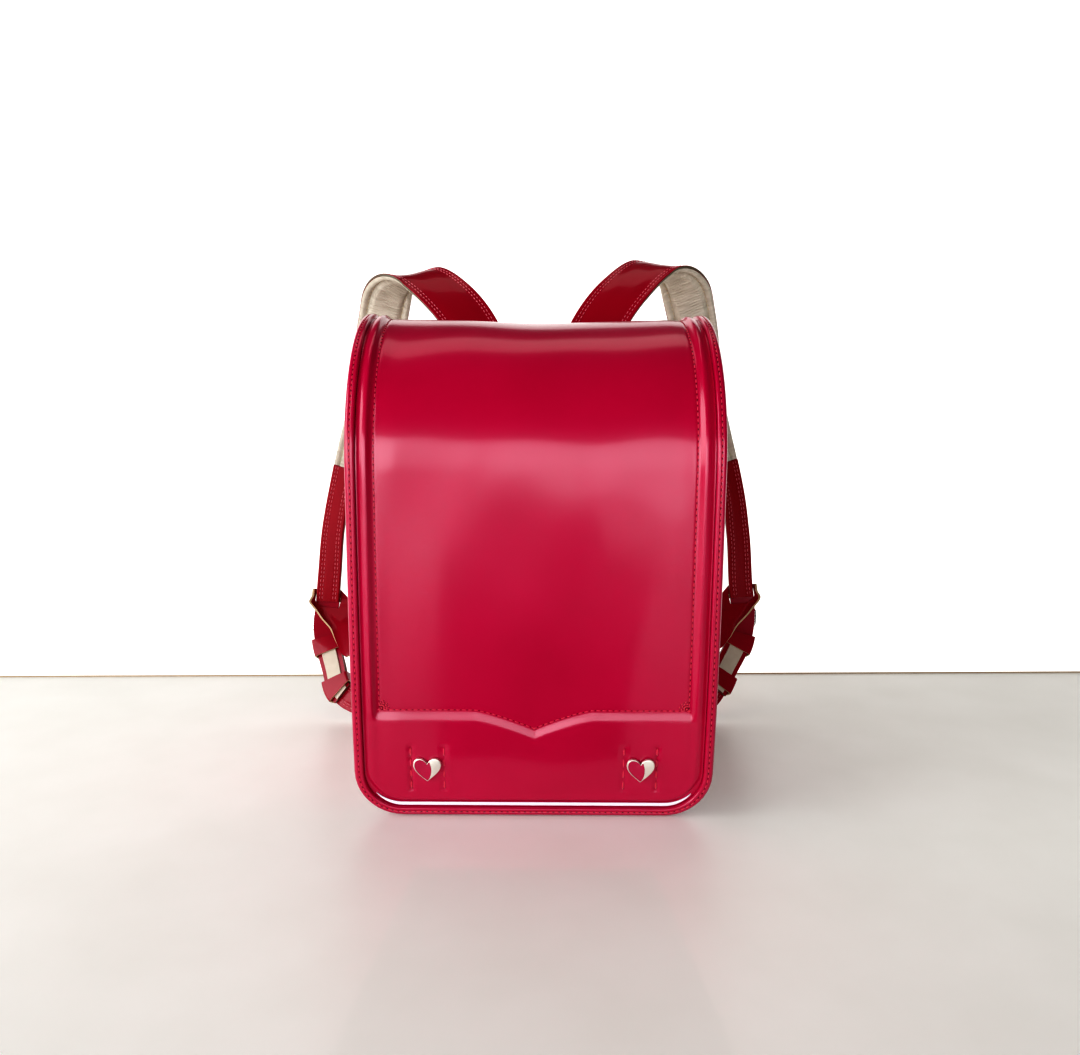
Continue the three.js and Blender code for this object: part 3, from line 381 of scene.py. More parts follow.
def flapProfile():  # length, y, z and tangent along the flap from its hem, over the crest, to its tail
    shoulder, rear = flap["crest"] - flap["frontDrop"], flap["crest"] - flap["rearDrop"]
    crestY = flap["face"] + flap["frontReach"]
    t = np.linspace(0, 1, 500)[:, None]
    hem = (flap["face"] + flap["hemTuck"], flap["hemLift"])
    front = bezier([hem] + [(flap["face"], shoulder * share / 3) for share in (1, 2, 3)], t)
    rise = quarterTurn((crestY, shoulder), math.pi, flap["frontReach"], flap["frontDrop"])
    fall = quarterTurn((crestY, rear), math.pi / 2, flap["tail"] - crestY, flap["rearDrop"])
    down = np.stack([np.full(50, flap["tail"]), np.linspace(rear, rear - flap["tailLength"], 50)], 1)
    line = np.concatenate([front, rise[1:], fall[1:], down[1:]])
    steps = np.linalg.norm(np.diff(line, axis=0), axis=1)
    length = np.concatenate([[0], np.cumsum(steps)])
    tangent = np.gradient(line, length, axis=0)
    tangent /= np.linalg.norm(tangent, axis=1)[:, None]
    return length, line, tangent


profileLength, profileLine, profileTangent = flapProfile()
flapLength = profileLength[-1]
crestAt = profileLength[np.argmax(profileLine[:, 1])]


def onFlap(x, s, h):  # x across, s along from the hem, h over the panel's level
    x, s, h = np.broadcast_arrays(x, s, h)
    y, z = (np.interp(s, profileLength, profileLine[:, axis]) for axis in (0, 1))
    ty, tz = (np.interp(s, profileLength, profileTangent[:, axis]) for axis in (0, 1))
    return np.stack([x, y - tz * h, z + ty * h], -1)


def edgeDistance(x, s):
    side, corner = flap["width"] / 2 - np.abs(x), flap["corner"]
    sideways = corner - side
    inCorner = (sideways > 0) & (s < corner)
    return np.where(inCorner, corner - np.hypot(np.maximum(sideways, 0), corner - s), np.minimum(side, s))


def footLine(x):  # the upper edge of the raised foot, with its pointed dip in the middle
    share = np.maximum(0, 1 - np.abs(x) / flap["scallopHalf"])
    return flap["footHeight"] - flap["scallopDrop"] * share ** flap["scallopPower"]


heart = {"width": 19.6, "height": 17.5, "spread": 150, "up": 37.5, "thickness": 2.4, "rim": 0.9,
         "enamelDepth": 1, "division": 14, "divisionShift": 11, "plateRound": 0.45, "enamelRound": 0.15,
         "enamelShare": 0.02, "enamelFloor": 0.02, "enamelSink": 0.1, "divisionGap": 0.15,
         "stitchOut": 11.7, "stitchPitch": 8.6, "stitchCount": 4, "stitchLength": 6.6, "stitchThickness": 1.3,
         "dip": 0.7, "knotDip": 0.8, "dipWidth": 1.2}


def panelWaves(x, s):  # the slow unevenness of a large sheet of leather
    broad = np.sin(x / 21 + 0.6) * np.sin(s / 37 + 1.1)
    return broad + 0.6 * np.sin(x / 13 - s / 29) + 0.5 * np.sin(s / 17 + x / 40)


def heartDents(x, s):  # the two short seams beside each heart pull the leather in, most at the knots
    depth = 0
    pitch, up = heart["stitchPitch"], heart["up"]
    reach = pitch * heart["stitchCount"] / 2
    window = smooth((reach + 2 - np.abs(s - up)) / 3)
    knots = 0.5 + 0.5 * np.cos((s - up) / pitch * 2 * math.pi)
    for centre in (-heart["spread"] / 2, heart["spread"] / 2):
        for out in (-heart["stitchOut"], heart["stitchOut"]):
            pull = bump(x - centre - out, heart["dipWidth"])
            depth = depth + (heart["dip"] + heart["knotDip"] * knots) * pull * window
    return depth


def flapRelief(x, s):  # groove, padded roll, valley, panel, raised foot and the dents of the sewing
    edge = edgeDistance(x, s)
    top = footLine(x)
    hemward = smooth((flap["corner"] - s) / flap["grooveTurn"])
    grooveWidth = flap["sideGroove"] + (flap["hemGroove"] - flap["sideGroove"]) * hemward
    grooveEnd = flap["binding"] + flap["clearance"] + grooveWidth
    footShare = smooth((top - s) / flap["footSlope"])
    foot = flap["footRise"] * footShare
    rise = flap["rollRise"] - flap["rollSink"] * footShare
    climb = np.clip((edge - grooveEnd) / (flap["rollTop"] - grooveEnd), 0, 1)
    roll = flap["groove"] + (rise - flap["groove"]) * np.sin(climb * math.pi / 2) ** 0.9
    fall = smooth((edge - flap["rollTop"]) / (flap["rollFoot"] - flap["rollTop"]))
    height = np.where(edge < flap["rollTop"], roll, foot + (rise - foot) * (1 - fall))
    above = smooth((s - top) / 2)
    inside = smooth((edge - flap["seam"]) / 1.5)
    sideSeam = bump(edge - flap["seam"], flap["seamWidth"]) * above
    footSeam = bump(s - top - flap["seamUp"], flap["seamWidth"]) * inside
    height = height - flap["seamDip"] * (sideSeam + footSeam) - heartDents(x, s)
    onPanel = smooth((edge - flap["rollFoot"]) / flap["waveStart"])
    middle = np.cos(np.clip(x / flap["sagWidth"], -1, 1) * math.pi / 2) ** 2
    sag = flap["crestSag"] * bump(s - crestAt, flap["sagLength"]) * middle
    return height + flap["wave"] * panelWaves(x, s) * onPanel - sag


def mirrored(rows):  # the same ribs on the other side, in the order that runs on round the edge
    return [[(-x, s) for x, s in row] for row in rows[::-1]]


ribs = {"lip": 0.5, "fineStart": 1.4, "fine": 0.5, "fineEnd": 20.5, "coarse": (21.5, 23, 26, 30),
        "cell": 1.3, "footRoom": 14, "scallopRoom": 4, "rows": 120, "columns": 24, "turns": 13}


def flapGrid():  # ribs run in from the edge to a plain grid; both share their border points
    half, corner = flap["width"] / 2, flap["corner"]
    footTop = flap["footHeight"] + ribs["footRoom"]
    fineRows = np.arange(corner, footTop, ribs["cell"])
    rows = np.concatenate([fineRows, np.linspace(footTop, flapLength, ribs["rows"])])
    fineHalf = np.arange(0, flap["scallopHalf"] + ribs["scallopRoom"], ribs["cell"])
    wide = np.concatenate([fineHalf, np.linspace(fineHalf[-1], half - corner, ribs["columns"])[1:]])
    columns = np.concatenate([-wide[:0:-1], wide])
    angles = np.linspace(math.pi / 2, 0, ribs["turns"])
    rim = flap["binding"] + flap["clearance"]
    lip = rim + ribs["lip"] * np.arange(3)
    fine = np.arange(rim + ribs["fineStart"], ribs["fineEnd"], ribs["fine"])
    insets = np.concatenate([lip, fine, ribs["coarse"], [corner]])
    side = [[(inset - half, s) for inset in insets] for s in rows[:0:-1]]
    turn = [[(corner - half - (corner - inset) * math.sin(a), corner - (corner - inset) * math.cos(a))
             for inset in insets] for a in angles]
    hem = [[(x, inset) for inset in insets] for x in columns[1:-1]]
    border = np.array(side + turn + hem + mirrored(turn) + mirrored(side)).reshape(-1, 2)
    ribCount = len(border) // len(insets)
    grid = np.array([(x, s) for s in rows for x in columns])
    faces = [face[::-1] for face in gridFaces(ribCount, len(insets))]
    faces += [[corner + len(border) for corner in face] for face in gridFaces(len(rows), len(columns))]
    points = np.concatenate([border, grid])
    _, first, index = np.unique(np.round(points, 4), axis=0, return_index=True, return_inverse=True)
    index = index.ravel()
    faces = [list(dict.fromkeys(int(index[corner]) for corner in face)) for face in faces]
    return points[first], [face for face in faces if len(face) > 2]


def followScallop(x, s):
    top, slope = flap["footHeight"], flap["footSlope"]
    above = (s - top) / (top / 2)
    below = (top - slope - s) / (top / 2 - slope)
    return s - (top - footLine(x)) * (1 - np.clip(np.maximum(above, below), 0, 1))


flapParams, flapFaces = flapGrid()
flapX, flapS = flapParams[:, 0], followScallop(*flapParams.T)
flapOuter = onFlap(flapX, flapS, flapRelief(flapX, flapS))
flapInner = onFlap(flapX, flapS, -flap["wall"])
flapPiece = closeSheets("flapLeather", flapOuter, flapInner, flapFaces, (redLeather, redLeather, redLeather))
dress(flapPiece, "red_leather", "flap")
print("flap made", len(flapPiece.data.polygons))


def ribAt(inset, rowStep=3.0, angleSteps=12):  # a path at one inset round the flap's open edge
    half, corner = flap["width"] / 2, flap["corner"]
    rows = np.arange(flapLength, corner, -rowStep)
    angles = np.linspace(math.pi / 2, 0, angleSteps)
    radius = corner - inset
    turn = np.stack([corner - half - radius * np.sin(angles), corner - radius * np.cos(angles)], 1)
    columns = np.arange(corner - half + rowStep, half - corner - rowStep / 2, rowStep)
    side = np.concatenate([np.stack([np.full(len(rows), inset - half), rows], 1), turn])
    hem = np.stack([columns, np.full(len(columns), inset)], 1)
    return np.concatenate([side, hem, side[::-1] * (-1, 1)])


bindingShape = {"edge": 3.0, "crown": 0.25, "dip": 0.5, "dipAt": 3.9, "dipWidth": 0.55}


def bindingSection():  # (inset, height) round the folded band
    width, rise, wall = flap["binding"], flap["bindingRise"], flap["wall"]
    turn = np.linspace(-math.pi / 2, math.pi / 2, 10)
    middle, tall = (rise - wall) / 2, (rise + wall) / 2
    outer = np.stack([bindingShape["edge"] * (1 - np.cos(turn)), middle + tall * np.sin(turn)], 1)
    top = np.linspace(bindingShape["edge"] + 0.3, width - 0.9, 14)
    across = (top - bindingShape["edge"]) / (width - bindingShape["edge"])
    topHeight = rise + bindingShape["crown"] * np.sin(across * math.pi)
    topHeight = topHeight - bindingShape["dip"] * bump(top - bindingShape["dipAt"], bindingShape["dipWidth"])
    lip = np.array([(width - 0.4, rise - 0.2), (width, rise - 0.8), (width, -wall)])
    return np.concatenate([outer, np.stack([top, topHeight], 1), lip])


section = bindingSection()
paths = [ribAt(inset) for inset, _ in section]
rings = np.stack([onFlap(path[:, 0], path[:, 1], height) for path, (_, height) in zip(paths, section)], 1)
bindingPiece = loftPiece("flapEdgeBinding", rings, redLeather, sharpAngle=55)
dress(bindingPiece, "red_leather", "flap_binding")


strip = {"width": 2.5, "thickness": 1.0, "endAngle": 50, "taper": 0.92}


def squared(wave):  # a circle's sine or cosine drawn out towards a square
    return np.sign(wave) * np.abs(wave) ** 0.5


def stripSections():
    half, corner = flap["width"] / 2, flap["corner"]
    middle = flap["binding"] + flap["clearance"] + flap["hemGroove"] / 2
    end = math.radians(strip["endAngle"])
    angles = np.linspace(end, 0, 16)
    straight = half - corner
    arc = corner - middle
    sections = []
    stations = [(-1, a) for a in angles] + [(x, None) for x in np.linspace(-straight, straight, 60)[1:-1]]
    stations += [(1, a) for a in angles[::-1]]
    around = np.linspace(0, 2 * math.pi, 13)[:-1]
    base = flap["groove"] + flap["clearance"]
    lift = base + strip["thickness"] * (0.5 + 0.5 * squared(np.sin(around)))
    for first, angle in stations:
        taper = 1 if angle is None else 1 - strip["taper"] * (angle / end) ** 2
        offset = squared(np.cos(around)) * strip["width"] / 2 * taper
        if angle is None:
            sections.append(onFlap(first, middle + offset, lift))
        else:
            radius = arc - offset
            x = first * (straight + radius * math.sin(angle))
            sections.append(onFlap(x, corner - radius * math.cos(angle), lift))
    return sections


stripPiece = loftPiece("reflectiveHemStrip", stripSections(), reflectiveTape, sharpAngle=60)
dress(stripPiece, "reflective_strip", "reflective_strip")


def heartOutline(share, count=14):
    w, h = heart["width"] / 2 * share, heart["height"] / 2 * share
    curves = [((0, -h), (w * 0.45, -h * 0.55), (w, -h * 0.1), (w, h * 0.45)),
              ((w, h * 0.45), (w, h * 1.18), (w * 0.25, h * 1.18), (0, h * 0.55))]
    t = np.linspace(0, 1, count)[:-1, None]
    right = np.concatenate([bezier(curve, t) for curve in curves])
    left = right[1:][::-1] * (-1, 1)
    return np.concatenate([right, [(0, h * 0.55)], left])


def prismOnFlap(name, outline, x, low, high, material):
    across, along = outline.T
    front, back = (onFlap(x + across, heart["up"] + along, height) for height in (high, low))
    return closeSheets(name, front, back, [list(range(len(outline)))], (material,) * 3)


def makeHeart(side, label):
    x = side * heart["spread"] / 2
    base = flap["footRise"] + flap["clearance"]
    top = base + heart["thickness"]
    floor = top - heart["enamelDepth"]
    circle = np.linspace(0, 2 * math.pi, 49)[:-1]
    disc = np.stack([np.cos(circle), np.sin(circle)], 1)
    shift = np.array((-heart["divisionShift"], 0))
    inner = 1 - 2 * heart["rim"] / heart["width"]
    plate = prismOnFlap("heartStud_" + label, heartOutline(1), x, base, top, heartMetal)
    roundEdges(plate, heart["plateRound"])
    recess = prismOnFlap("recess", heartOutline(inner), x, floor, top + 2, heartMetal)
    cutter = prismOnFlap("cutter", disc * heart["division"] + shift, x, floor - 1, top + 3, heartMetal)
    combine(plate, combine(recess, cutter, "INTERSECT"), "DIFFERENCE")
    low, high = floor + heart["enamelFloor"], top - heart["enamelSink"]
    field = heartOutline(inner - heart["enamelShare"])
    fill = prismOnFlap("heartEnamel_" + label, field, x, low, high, enamel)
    arc = disc * (heart["division"] - heart["divisionGap"]) + shift
    cutter = prismOnFlap("cutter", arc, x, floor - 1, top + 3, enamel)
    combine(fill, cutter, "INTERSECT")
    roundEdges(fill, heart["enamelRound"], 2)
    for piece in (plate, fill):
        cleanMesh(piece.data, 35)
    dress(plate, "plated_metal", "heart_" + label)
    dress(fill, "enamel", "heart_enamel_" + label)


makeHeart(-1, "left")
makeHeart(1, "right")
print("flap trim made")


# The body

# node, name, slot, leather, edge radius
bodyPieces = [
    ("gusset", "mainGusset", "red_leather", redLeather, 0.9),
    ("front_panel", "frontPanel", "red_leather", redLeather, 0.8),
    ("front_binding", "frontPanelBinding", "dark_red_leather", strapLeather, 1.1),
    ("back_panel", "backPanel", "red_leather", redLeather, 0.8),
    ("back_binding", "backEdgeBinding", "red_leather", redLeather, 1.6),
    ("pocket_gusset", "pocketGusset", "red_leather", redLeather, 0.8),
    ("pocket_face", "pocketFace", "red_leather", redLeather, 0.9),
    ("closure_tab", "closingBelt", "red_leather", redLeather, 0.8),
    ("lock", "lockPlate", "plated_metal", platedMetal, 0.8),
    ("hinge_plate", "strapRootPlate", "dark_red_leather", strapLeather, 0.9),
    ("side_tab", "sideRingTab", "red_leather", redLeather, 0.5),
    ("ring_tab_left", "ringTab_left", "red_leather", redLeather, 0.6),
    ("ring_tab_right", "ringTab_right", "red_leather", redLeather, 0.6),
]


def softenNode(node, name, slot, material, radius):  # a copy of the solid with its cut edges rounded
    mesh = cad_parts[node].data.copy()
    mesh.materials.clear()
    mesh.materials.append(material)
    cleanMesh(mesh, 40, 1)
    mesh.polygons.foreach_set("material_index", [0] * len(mesh.polygons))
    dress(roundEdges(linkPiece(name, mesh), radius), slot, node)


for row in bodyPieces:
    softenNode(*row)
print("body made")


# The straps

strap = {
    "width": 46, "tip": 23, "thickness": 2.6, "lining": 5, "facing": 1.8, "backing": 1, "clearance": 0.3,
    "rootOut": 30, "rootHeight": 284, "rootFace": 71.5, "spread": 206, "reach": 102, "rise": 121,
    "ringOut": 118, "ringUp": 17, "ringPlane": 69.1, "eye": 4.5, "eyeHole": 1.9, "eyeHoleHeight": 60,
    "seams": (3.6, 6.2), "seamDip": 0.3, "seamWidth": 0.8, "edgeRound": 0.7, "facingRound": 1.4,
    "rootDip": 20, "ringDip": 90, "backingRound": 0.5, "backingInset": 4.2, "puff": 0.5,
    "puffStart": 7, "puffWidth": 8, "step": 2.5,
}
# The cream lining: a rolled rim, a narrow groove and a creased pad
pad = {"start": 16, "inset": 0.4, "rim": 0.9, "rimRoll": 2.4, "rimWidth": 6.2, "from": 6.6, "ramp": 0.2,
       "sink": 1.3, "crease": 0.6, "creaseLength": 0.85, "edgeRound": 0.9, "step": 0.6, "seams": (6.3, 8.6)}
# Distances back from the ring, along a strap
mark = {"taperStart": 440, "taperEnd": 275, "liningEnd": 305, "slot": 166}
mark.update({"facingEnd": mark["slot"] + 3, "lowerStrap": mark["slot"] - 5,
             "upperKeeper": mark["slot"] - 41, "lowerKeeper": mark["slot"] - 85, "tipEnd": mark["slot"] - 96})
# out, back, up: shares of the spread, reach and rise; dip, swing: degrees that the width leans
strapRows = {
    "left": [
        (0.200, 0.070, 0.317, 30, -2), (0.267, 0.190, 0.619, 29, -18), (0.375, 0.337, 0.860, 28, -27),
        (0.517, 0.539, 1.034, 17, -27), (0.652, 0.690, 0.964, 6, -19), (0.712, 0.850, 0.711, -8, -4),
        (0.780, 0.956, 0.207, -10, 5), (0.908, 0.970, -0.177, -11, 18), (0.971, 0.935, -0.401, -9, 14),
        (0.989, 0.857, -0.583, -3, 3), (0.994, 0.773, -0.690, 0, 1), (0.995, 0.653, -0.785, 7, 2),
        (0.940, 0.443, -0.895, 24, 3), (0.885, 0.265, -0.970, 43, -1), (0.763, 0.122, -1.000, 64, 0),
    ],
    "right": [
        (0.195, 0.060, 0.322, 30, -1), (0.262, 0.160, 0.628, 30, -16), (0.378, 0.300, 0.905, 23, -28),
        (0.525, 0.535, 1.110, 13, -29), (0.658, 0.705, 1.035, 10, -17), (0.735, 0.900, 0.765, -11, 2),
        (0.808, 0.975, 0.209, -9, 8), (0.940, 0.935, -0.213, -10, 16), (0.984, 0.875, -0.425, -8, 8),
        (0.995, 0.790, -0.605, -4, 0), (1.003, 0.700, -0.720, 0, 0), (0.975, 0.595, -0.815, 8, 2),
        (0.900, 0.440, -0.900, 26, 3), (0.830, 0.280, -0.971, 45, 0), (0.740, 0.135, -1.000, 64, 0),
    ],
}


def strapTrack(side, label):
    drop = strap["rootHeight"] - strap["ringUp"]
    points = [(side * strap["rootOut"], strap["rootFace"], strap["rootHeight"])]
    for out, back, up, _, _ in strapRows[label]:
        height = up * (strap["rise"] if up > 0 else drop)
        points.append((side * out * strap["spread"], strap["rootFace"] + back * strap["reach"],
                       strap["rootHeight"] + height))
    eyeOffset = 2 * strap["thickness"] + strap["clearance"] - strap["eye"]
    points.append((side * strap["ringOut"], strap["ringPlane"] - eyeOffset, strap["ringUp"]))
    leans = [(strap["rootDip"], 0)] + [row[3:] for row in strapRows[label]] + [(strap["ringDip"], 0)]
    track = {"side": side, "points": np.array(points, float), "leans": np.array(leans, float)}
    u = np.linspace(0, 1, 4001)
    centre, _ = splineAt(track["points"], u)
    run = np.concatenate([[0], np.cumsum(np.linalg.norm(np.diff(centre, axis=0), axis=1))])
    track.update({"u": u, "run": run, "length": run[-1]})
    return track


def onStrap(track, s, w, h):  # s along, w towards the outer edge, h above the inner face
    s, w, h = (np.asarray(part, float) for part in np.broadcast_arrays(s, w, h))
    shape = s.shape
    u = np.interp(s.ravel(), track["run"], track["u"])
    centre, slope = splineAt(track["points"], u)
    tangent = slope / np.linalg.norm(slope, axis=1)[:, None]
    turn, _ = splineAt(track["leans"], u)
    dip, swing = np.radians(turn).T
    flat = np.cos(dip)
    across = np.stack([track["side"] * flat * np.cos(swing), flat * np.sin(swing), -np.sin(dip)], 1)
    across = across - (across * tangent).sum(1)[:, None] * tangent
    across /= np.linalg.norm(across, axis=1)[:, None]
    normal = np.cross(tangent, across) * -track["side"]
    points = centre + across * w.ravel()[:, None] + normal * h.ravel()[:, None]
    return points.reshape(shape + (3,))


def strapHalf(track, s):
    start, end = track["length"] - mark["taperStart"], track["length"] - mark["taperEnd"]
    narrowed = smooth((s - start) / (end - start))
    return (strap["width"] + (strap["tip"] - strap["width"]) * narrowed) / 2


def edgeDrop(distance, radius):  # how far a rounded edge lies below its face
    near = np.clip(radius - distance, 0, radius)
    return radius - np.sqrt(radius ** 2 - near ** 2)


def bandGrid(track, start, end, step, inset=0.0):
    stations = np.linspace(start, end, max(3, int((end - start) / step) + 1))
    shares = np.sin(np.linspace(-math.pi / 2, math.pi / 2, 33))  # closer together towards the edges
    s, share = np.meshgrid(stations, shares, indexing="ij")
    half = strapHalf(track, s) - inset
    return s, share * half, half - np.abs(share * half)


def seamDips(distance):
    return strap["seamDip"] * sum(bump(distance - row, strap["seamWidth"]) for row in strap["seams"])


def bandPiece(name, track, span, heights, materials, slot, node, step=strap["step"], inset=0.0, uv=False):
    s, w, distance = bandGrid(track, *span, step, inset)
    ends = edgeDrop(np.minimum(s - span[0], span[1] - s), strap["edgeRound"])
    low, high = heights(s, w, distance)
    outer = onStrap(track, s, w, high - ends * (high > low))
    inner = onStrap(track, s, w, low)
    spots = np.stack([s.ravel(), w.ravel()], 1) if uv else None
    piece = closeSheets(name, outer, inner, gridFaces(*s.shape), materials, spots, 50)
    return dress(piece, slot, node)


def makeStrapBands(track, label):
    length = track["length"]
    tip, split = length - mark["tipEnd"], length - mark["liningEnd"]
    gap, thick = strap["clearance"], strap["thickness"]

    def outerHeights(s, w, distance):
        puff = strap["puff"] * smooth((distance - strap["puffStart"]) / strap["puffWidth"])
        high = thick + puff - edgeDrop(distance, strap["edgeRound"]) - seamDips(distance)
        return np.zeros_like(s), high

    def liningHeights(s, w, distance):
        share = np.clip(distance / pad["rimWidth"], 0, 1)
        rim = pad["rim"] + pad["rimRoll"] * np.sin(share * math.pi) ** 0.8
        filled = smooth((distance - pad["from"]) / (strapHalf(track, s) * pad["ramp"]))
        wander = s / pad["creaseLength"] + 1.3 * np.sin(w / 7) + 2 * np.sin(s / 23)
        ripple = np.sin(wander) * (0.6 + 0.4 * np.sin(s / 5.3 + w / 4))
        crease = pad["crease"] * (1 - 2 * np.abs(ripple) ** 0.6)
        depth = rim + (strap["lining"] - pad["sink"] + crease) * filled - seamDips(distance)
        return edgeDrop(distance, pad["edgeRound"]) - gap - depth, np.full_like(s, -gap)

    def facingHeights(s, w, distance):
        relief = edgeDrop(distance, strap["facingRound"]) + 1.6 * seamDips(distance)
        return relief - gap - strap["facing"], np.full_like(s, -gap)

    def backingHeights(s, w, distance):
        return edgeDrop(distance, strap["backingRound"]) - gap - strap["backing"], np.full_like(s, -gap)

    painted = (strapLeather, strapLeather, edgePaint)
    bandPiece("strapOuterLeather_" + label, track, (0, tip), outerHeights, painted, "dark_red_leather",
              "strap_outer_" + label)
    bandPiece("strapPadLining_" + label, track, (pad["start"], split), liningHeights, (creamLeather,) * 3,
              "cream_lining", "strap_lining_" + label, pad["step"], pad["inset"], uv=True)
    bandPiece("strapInnerFacing_" + label, track, (split + 1, length - mark["facingEnd"]), facingHeights,
              (facingLeather,) * 3, "dark_red_leather", "strap_facing_" + label)
    bandPiece("strapTipBacking_" + label, track, (length - mark["upperKeeper"], tip), backingHeights,
              (backingLeather,) * 3, "cream_lining", "strap_tip_backing_" + label,
              inset=strap["backingInset"])

    low = thick + gap
    s, w, distance = bandGrid(track, length - mark["lowerStrap"], length, strap["step"])
    relief = edgeDrop(distance, strap["edgeRound"]) + seamDips(distance)
    upper, under = onStrap(track, s, w, low + thick - relief), onStrap(track, s, w, low + relief)
    name = "lowerStrapLeather_" + label
    band = closeSheets(name, upper, under, gridFaces(*s.shape), painted, sharpAngle=50)
    combine(band, eyeRing("eye", track, strap["tip"], strap["eye"]), "UNION")
    combine(band, eyeRing("hole", track, strap["eyeHoleHeight"], strap["eyeHole"]), "DIFFERENCE")
    cleanMesh(band.data, 45)
    dress(band, "dark_red_leather", "lower_strap_" + label)


def eyeRing(name, track, height, reach):  # a rod round the upright of the D-ring
    x, y, z = track["side"] * strap["ringOut"], strap["ringPlane"], strap["ringUp"]
    around = np.linspace(0, 2 * math.pi, 29)[:-1]
    ring = [[(x + reach * math.cos(a), y + reach * math.sin(a), z + lift) for a in around]
            for lift in (-height / 2, height / 2)]
    return loftPiece(name, ring, strapLeather)


guard = {"thickness": 2.2, "half": 21, "lift": 9, "length": 66, "slack": 1.0, "curlFrom": 0.25,
         "curlRadius": 9, "curlAngle": 88, "easeFrom": 0.3, "ease": 0.7, "tunnelHalf": 30}
# along, half, shift, lift as shares of the guard's length, half width and lift
guardRows = np.array([
    (-0.24, 0.67, -0.14, -0.55), (-0.12, 0.90, 0.00, -0.45), (0.00, 0.97, 0.03, 0.00),
    (0.18, 0.76, 0.43, 0.55), (0.42, 0.53, 0.85, 0.90), (0.67, 0.45, 1.00, 1.00),
    (0.91, 0.30, 1.02, 1.00), (1.00, 0.10, 1.00, 1.00),
])


def makeGuard(track, label):
    slot = track["length"] - mark["slot"]
    rows, _ = splineAt(guardRows, np.linspace(0, 1, 57))
    share, width, shift, lift = (column[:, None] for column in rows.T)
    across = np.sin(np.linspace(-math.pi / 2, math.pi / 2, 29))[None, :]
    along = slot + share * guard["length"]
    wide = width * guard["half"]
    arc = np.maximum(0, across - guard["curlFrom"]) * wide
    slack = 1 - guard["ease"] * smooth((share - guard["easeFrom"]) / (1 - guard["easeFrom"]))
    turn = np.minimum(arc / guard["curlRadius"], math.radians(guard["curlAngle"])) * slack + 1e-6
    w = np.minimum(across, guard["curlFrom"]) * wide + arc / turn * np.sin(turn) - shift * guard["half"]
    h = -lift * guard["lift"] - arc / turn * (1 - np.cos(turn))
    halfWall = guard["thickness"] / 2
    outward, upward = np.sin(turn) * halfWall, np.cos(turn) * halfWall
    piece = closeSheets("buckleGuard_" + label, onStrap(track, along, w + outward, h + upward),
                        onStrap(track, along, w - outward, h - upward), gridFaces(*w.shape),
                        (strapLeather, strapLeather, beigeEdge), sharpAngle=50)
    half = strap["tip"] / 2 + guard["slack"]
    heights = (strap["thickness"] + strap["clearance"], -2 * strap["clearance"] - strap["facing"])
    stations = np.linspace(slot - guard["tunnelHalf"], slot + guard["tunnelHalf"], 31)[:, None]
    over, under = (onStrap(track, stations, np.array([[-half, half]]), height) for height in heights)
    combine(piece, closeSheets("tunnel", over, under, gridFaces(31, 2), (beigeEdge,) * 3), "DIFFERENCE")
    cleanMesh(piece.data, 45)
    dress(piece, "dark_red_leather", "buckle_guard_" + label)


keeper = {"length": 16, "wall": 1.4, "slack": 1.0, "ease": 0.8, "outerRound": 1.9, "innerRound": 0.5,
          "swell": 0.35}


def makeKeeper(track, middle, name, node):
    half = strap["tip"] / 2 + keeper["slack"]
    low = -strap["clearance"] - strap["backing"] - keeper["ease"]
    high = 2 * strap["thickness"] + strap["clearance"] + keeper["ease"]
    wall = keeper["wall"]
    outerW, outerH = roundedBox(half + wall, low - wall, high + wall, keeper["outerRound"], 6).T[:2]
    innerW, innerH = roundedBox(half, low, high, keeper["innerRound"], 6).T[:2]
    stations = np.linspace(middle - keeper["length"] / 2, middle + keeper["length"] / 2, 9)[:, None]
    swell = keeper["swell"] * np.sin(np.linspace(0, math.pi, 9))[:, None]  # its middle stands a little proud
    outer = onStrap(track, stations, outerW * (1 + swell / 20), outerH * (1 + swell / 9))
    inner = onStrap(track, stations, innerW, innerH)
    faces = gridFaces(len(stations), len(outerW), wrapped=True)
    piece = closeSheets(name, outer, inner, faces, (strapLeather, strapLeather, beigeEdge), sharpAngle=50)
    dress(piece, "red_leather", node)


wire = {"radius": 1.6, "bend": 3.0}


def wireRing(name, centre, width, height, node):
    cx, cy, cz = centre
    sections = []
    for x, z, outX, outZ in roundedBox(width / 2, -height / 2, height / 2, wire["bend"], 7):
        around = np.linspace(0, 2 * math.pi, 13)[:-1]
        out, side = wire["radius"] * np.cos(around), wire["radius"] * np.sin(around)
        sections.append(np.stack([cx + x + out * outX, cy + side, cz + z + out * outZ], 1))
    dress(loftPiece(name, sections, platedMetal, closed=True), "plated_metal", node)


buckle = {"width": 30, "length": 18, "bar": 3.0, "thickness": 2.6, "bend": 3.5}


def makeBuckle(track, label):
    low = 2 * strap["thickness"] + 2 * strap["clearance"]
    middle = track["length"] - mark["lowerStrap"] + 1 + buckle["length"] / 2
    bar, tall = buckle["bar"] / 2, buckle["thickness"] / 2
    around = np.linspace(0, 2 * math.pi, 13)[:-1][None, :]
    half, reach = buckle["width"] / 2 - bar, buckle["length"] / 2 - bar
    corners = roundedBox(half, -reach, reach, buckle["bend"], 7)
    across, along, outW, outS = (column[:, None] for column in corners.T)
    w = across + bar * np.cos(around) * outW
    s = middle + along + bar * np.cos(around) * outS
    h = np.broadcast_to(low + tall + tall * np.sin(around), w.shape)
    piece = loftPiece("buckleFrame_" + label, onStrap(track, s, w, h), platedMetal, closed=True)
    dress(piece, "plated_metal", "buckle_" + label)


dRing = {"width": 14, "height": 28}
sideRing = {"width": 18, "height": 19, "up": 222, "front": 40}
gussetHalf = 117.5

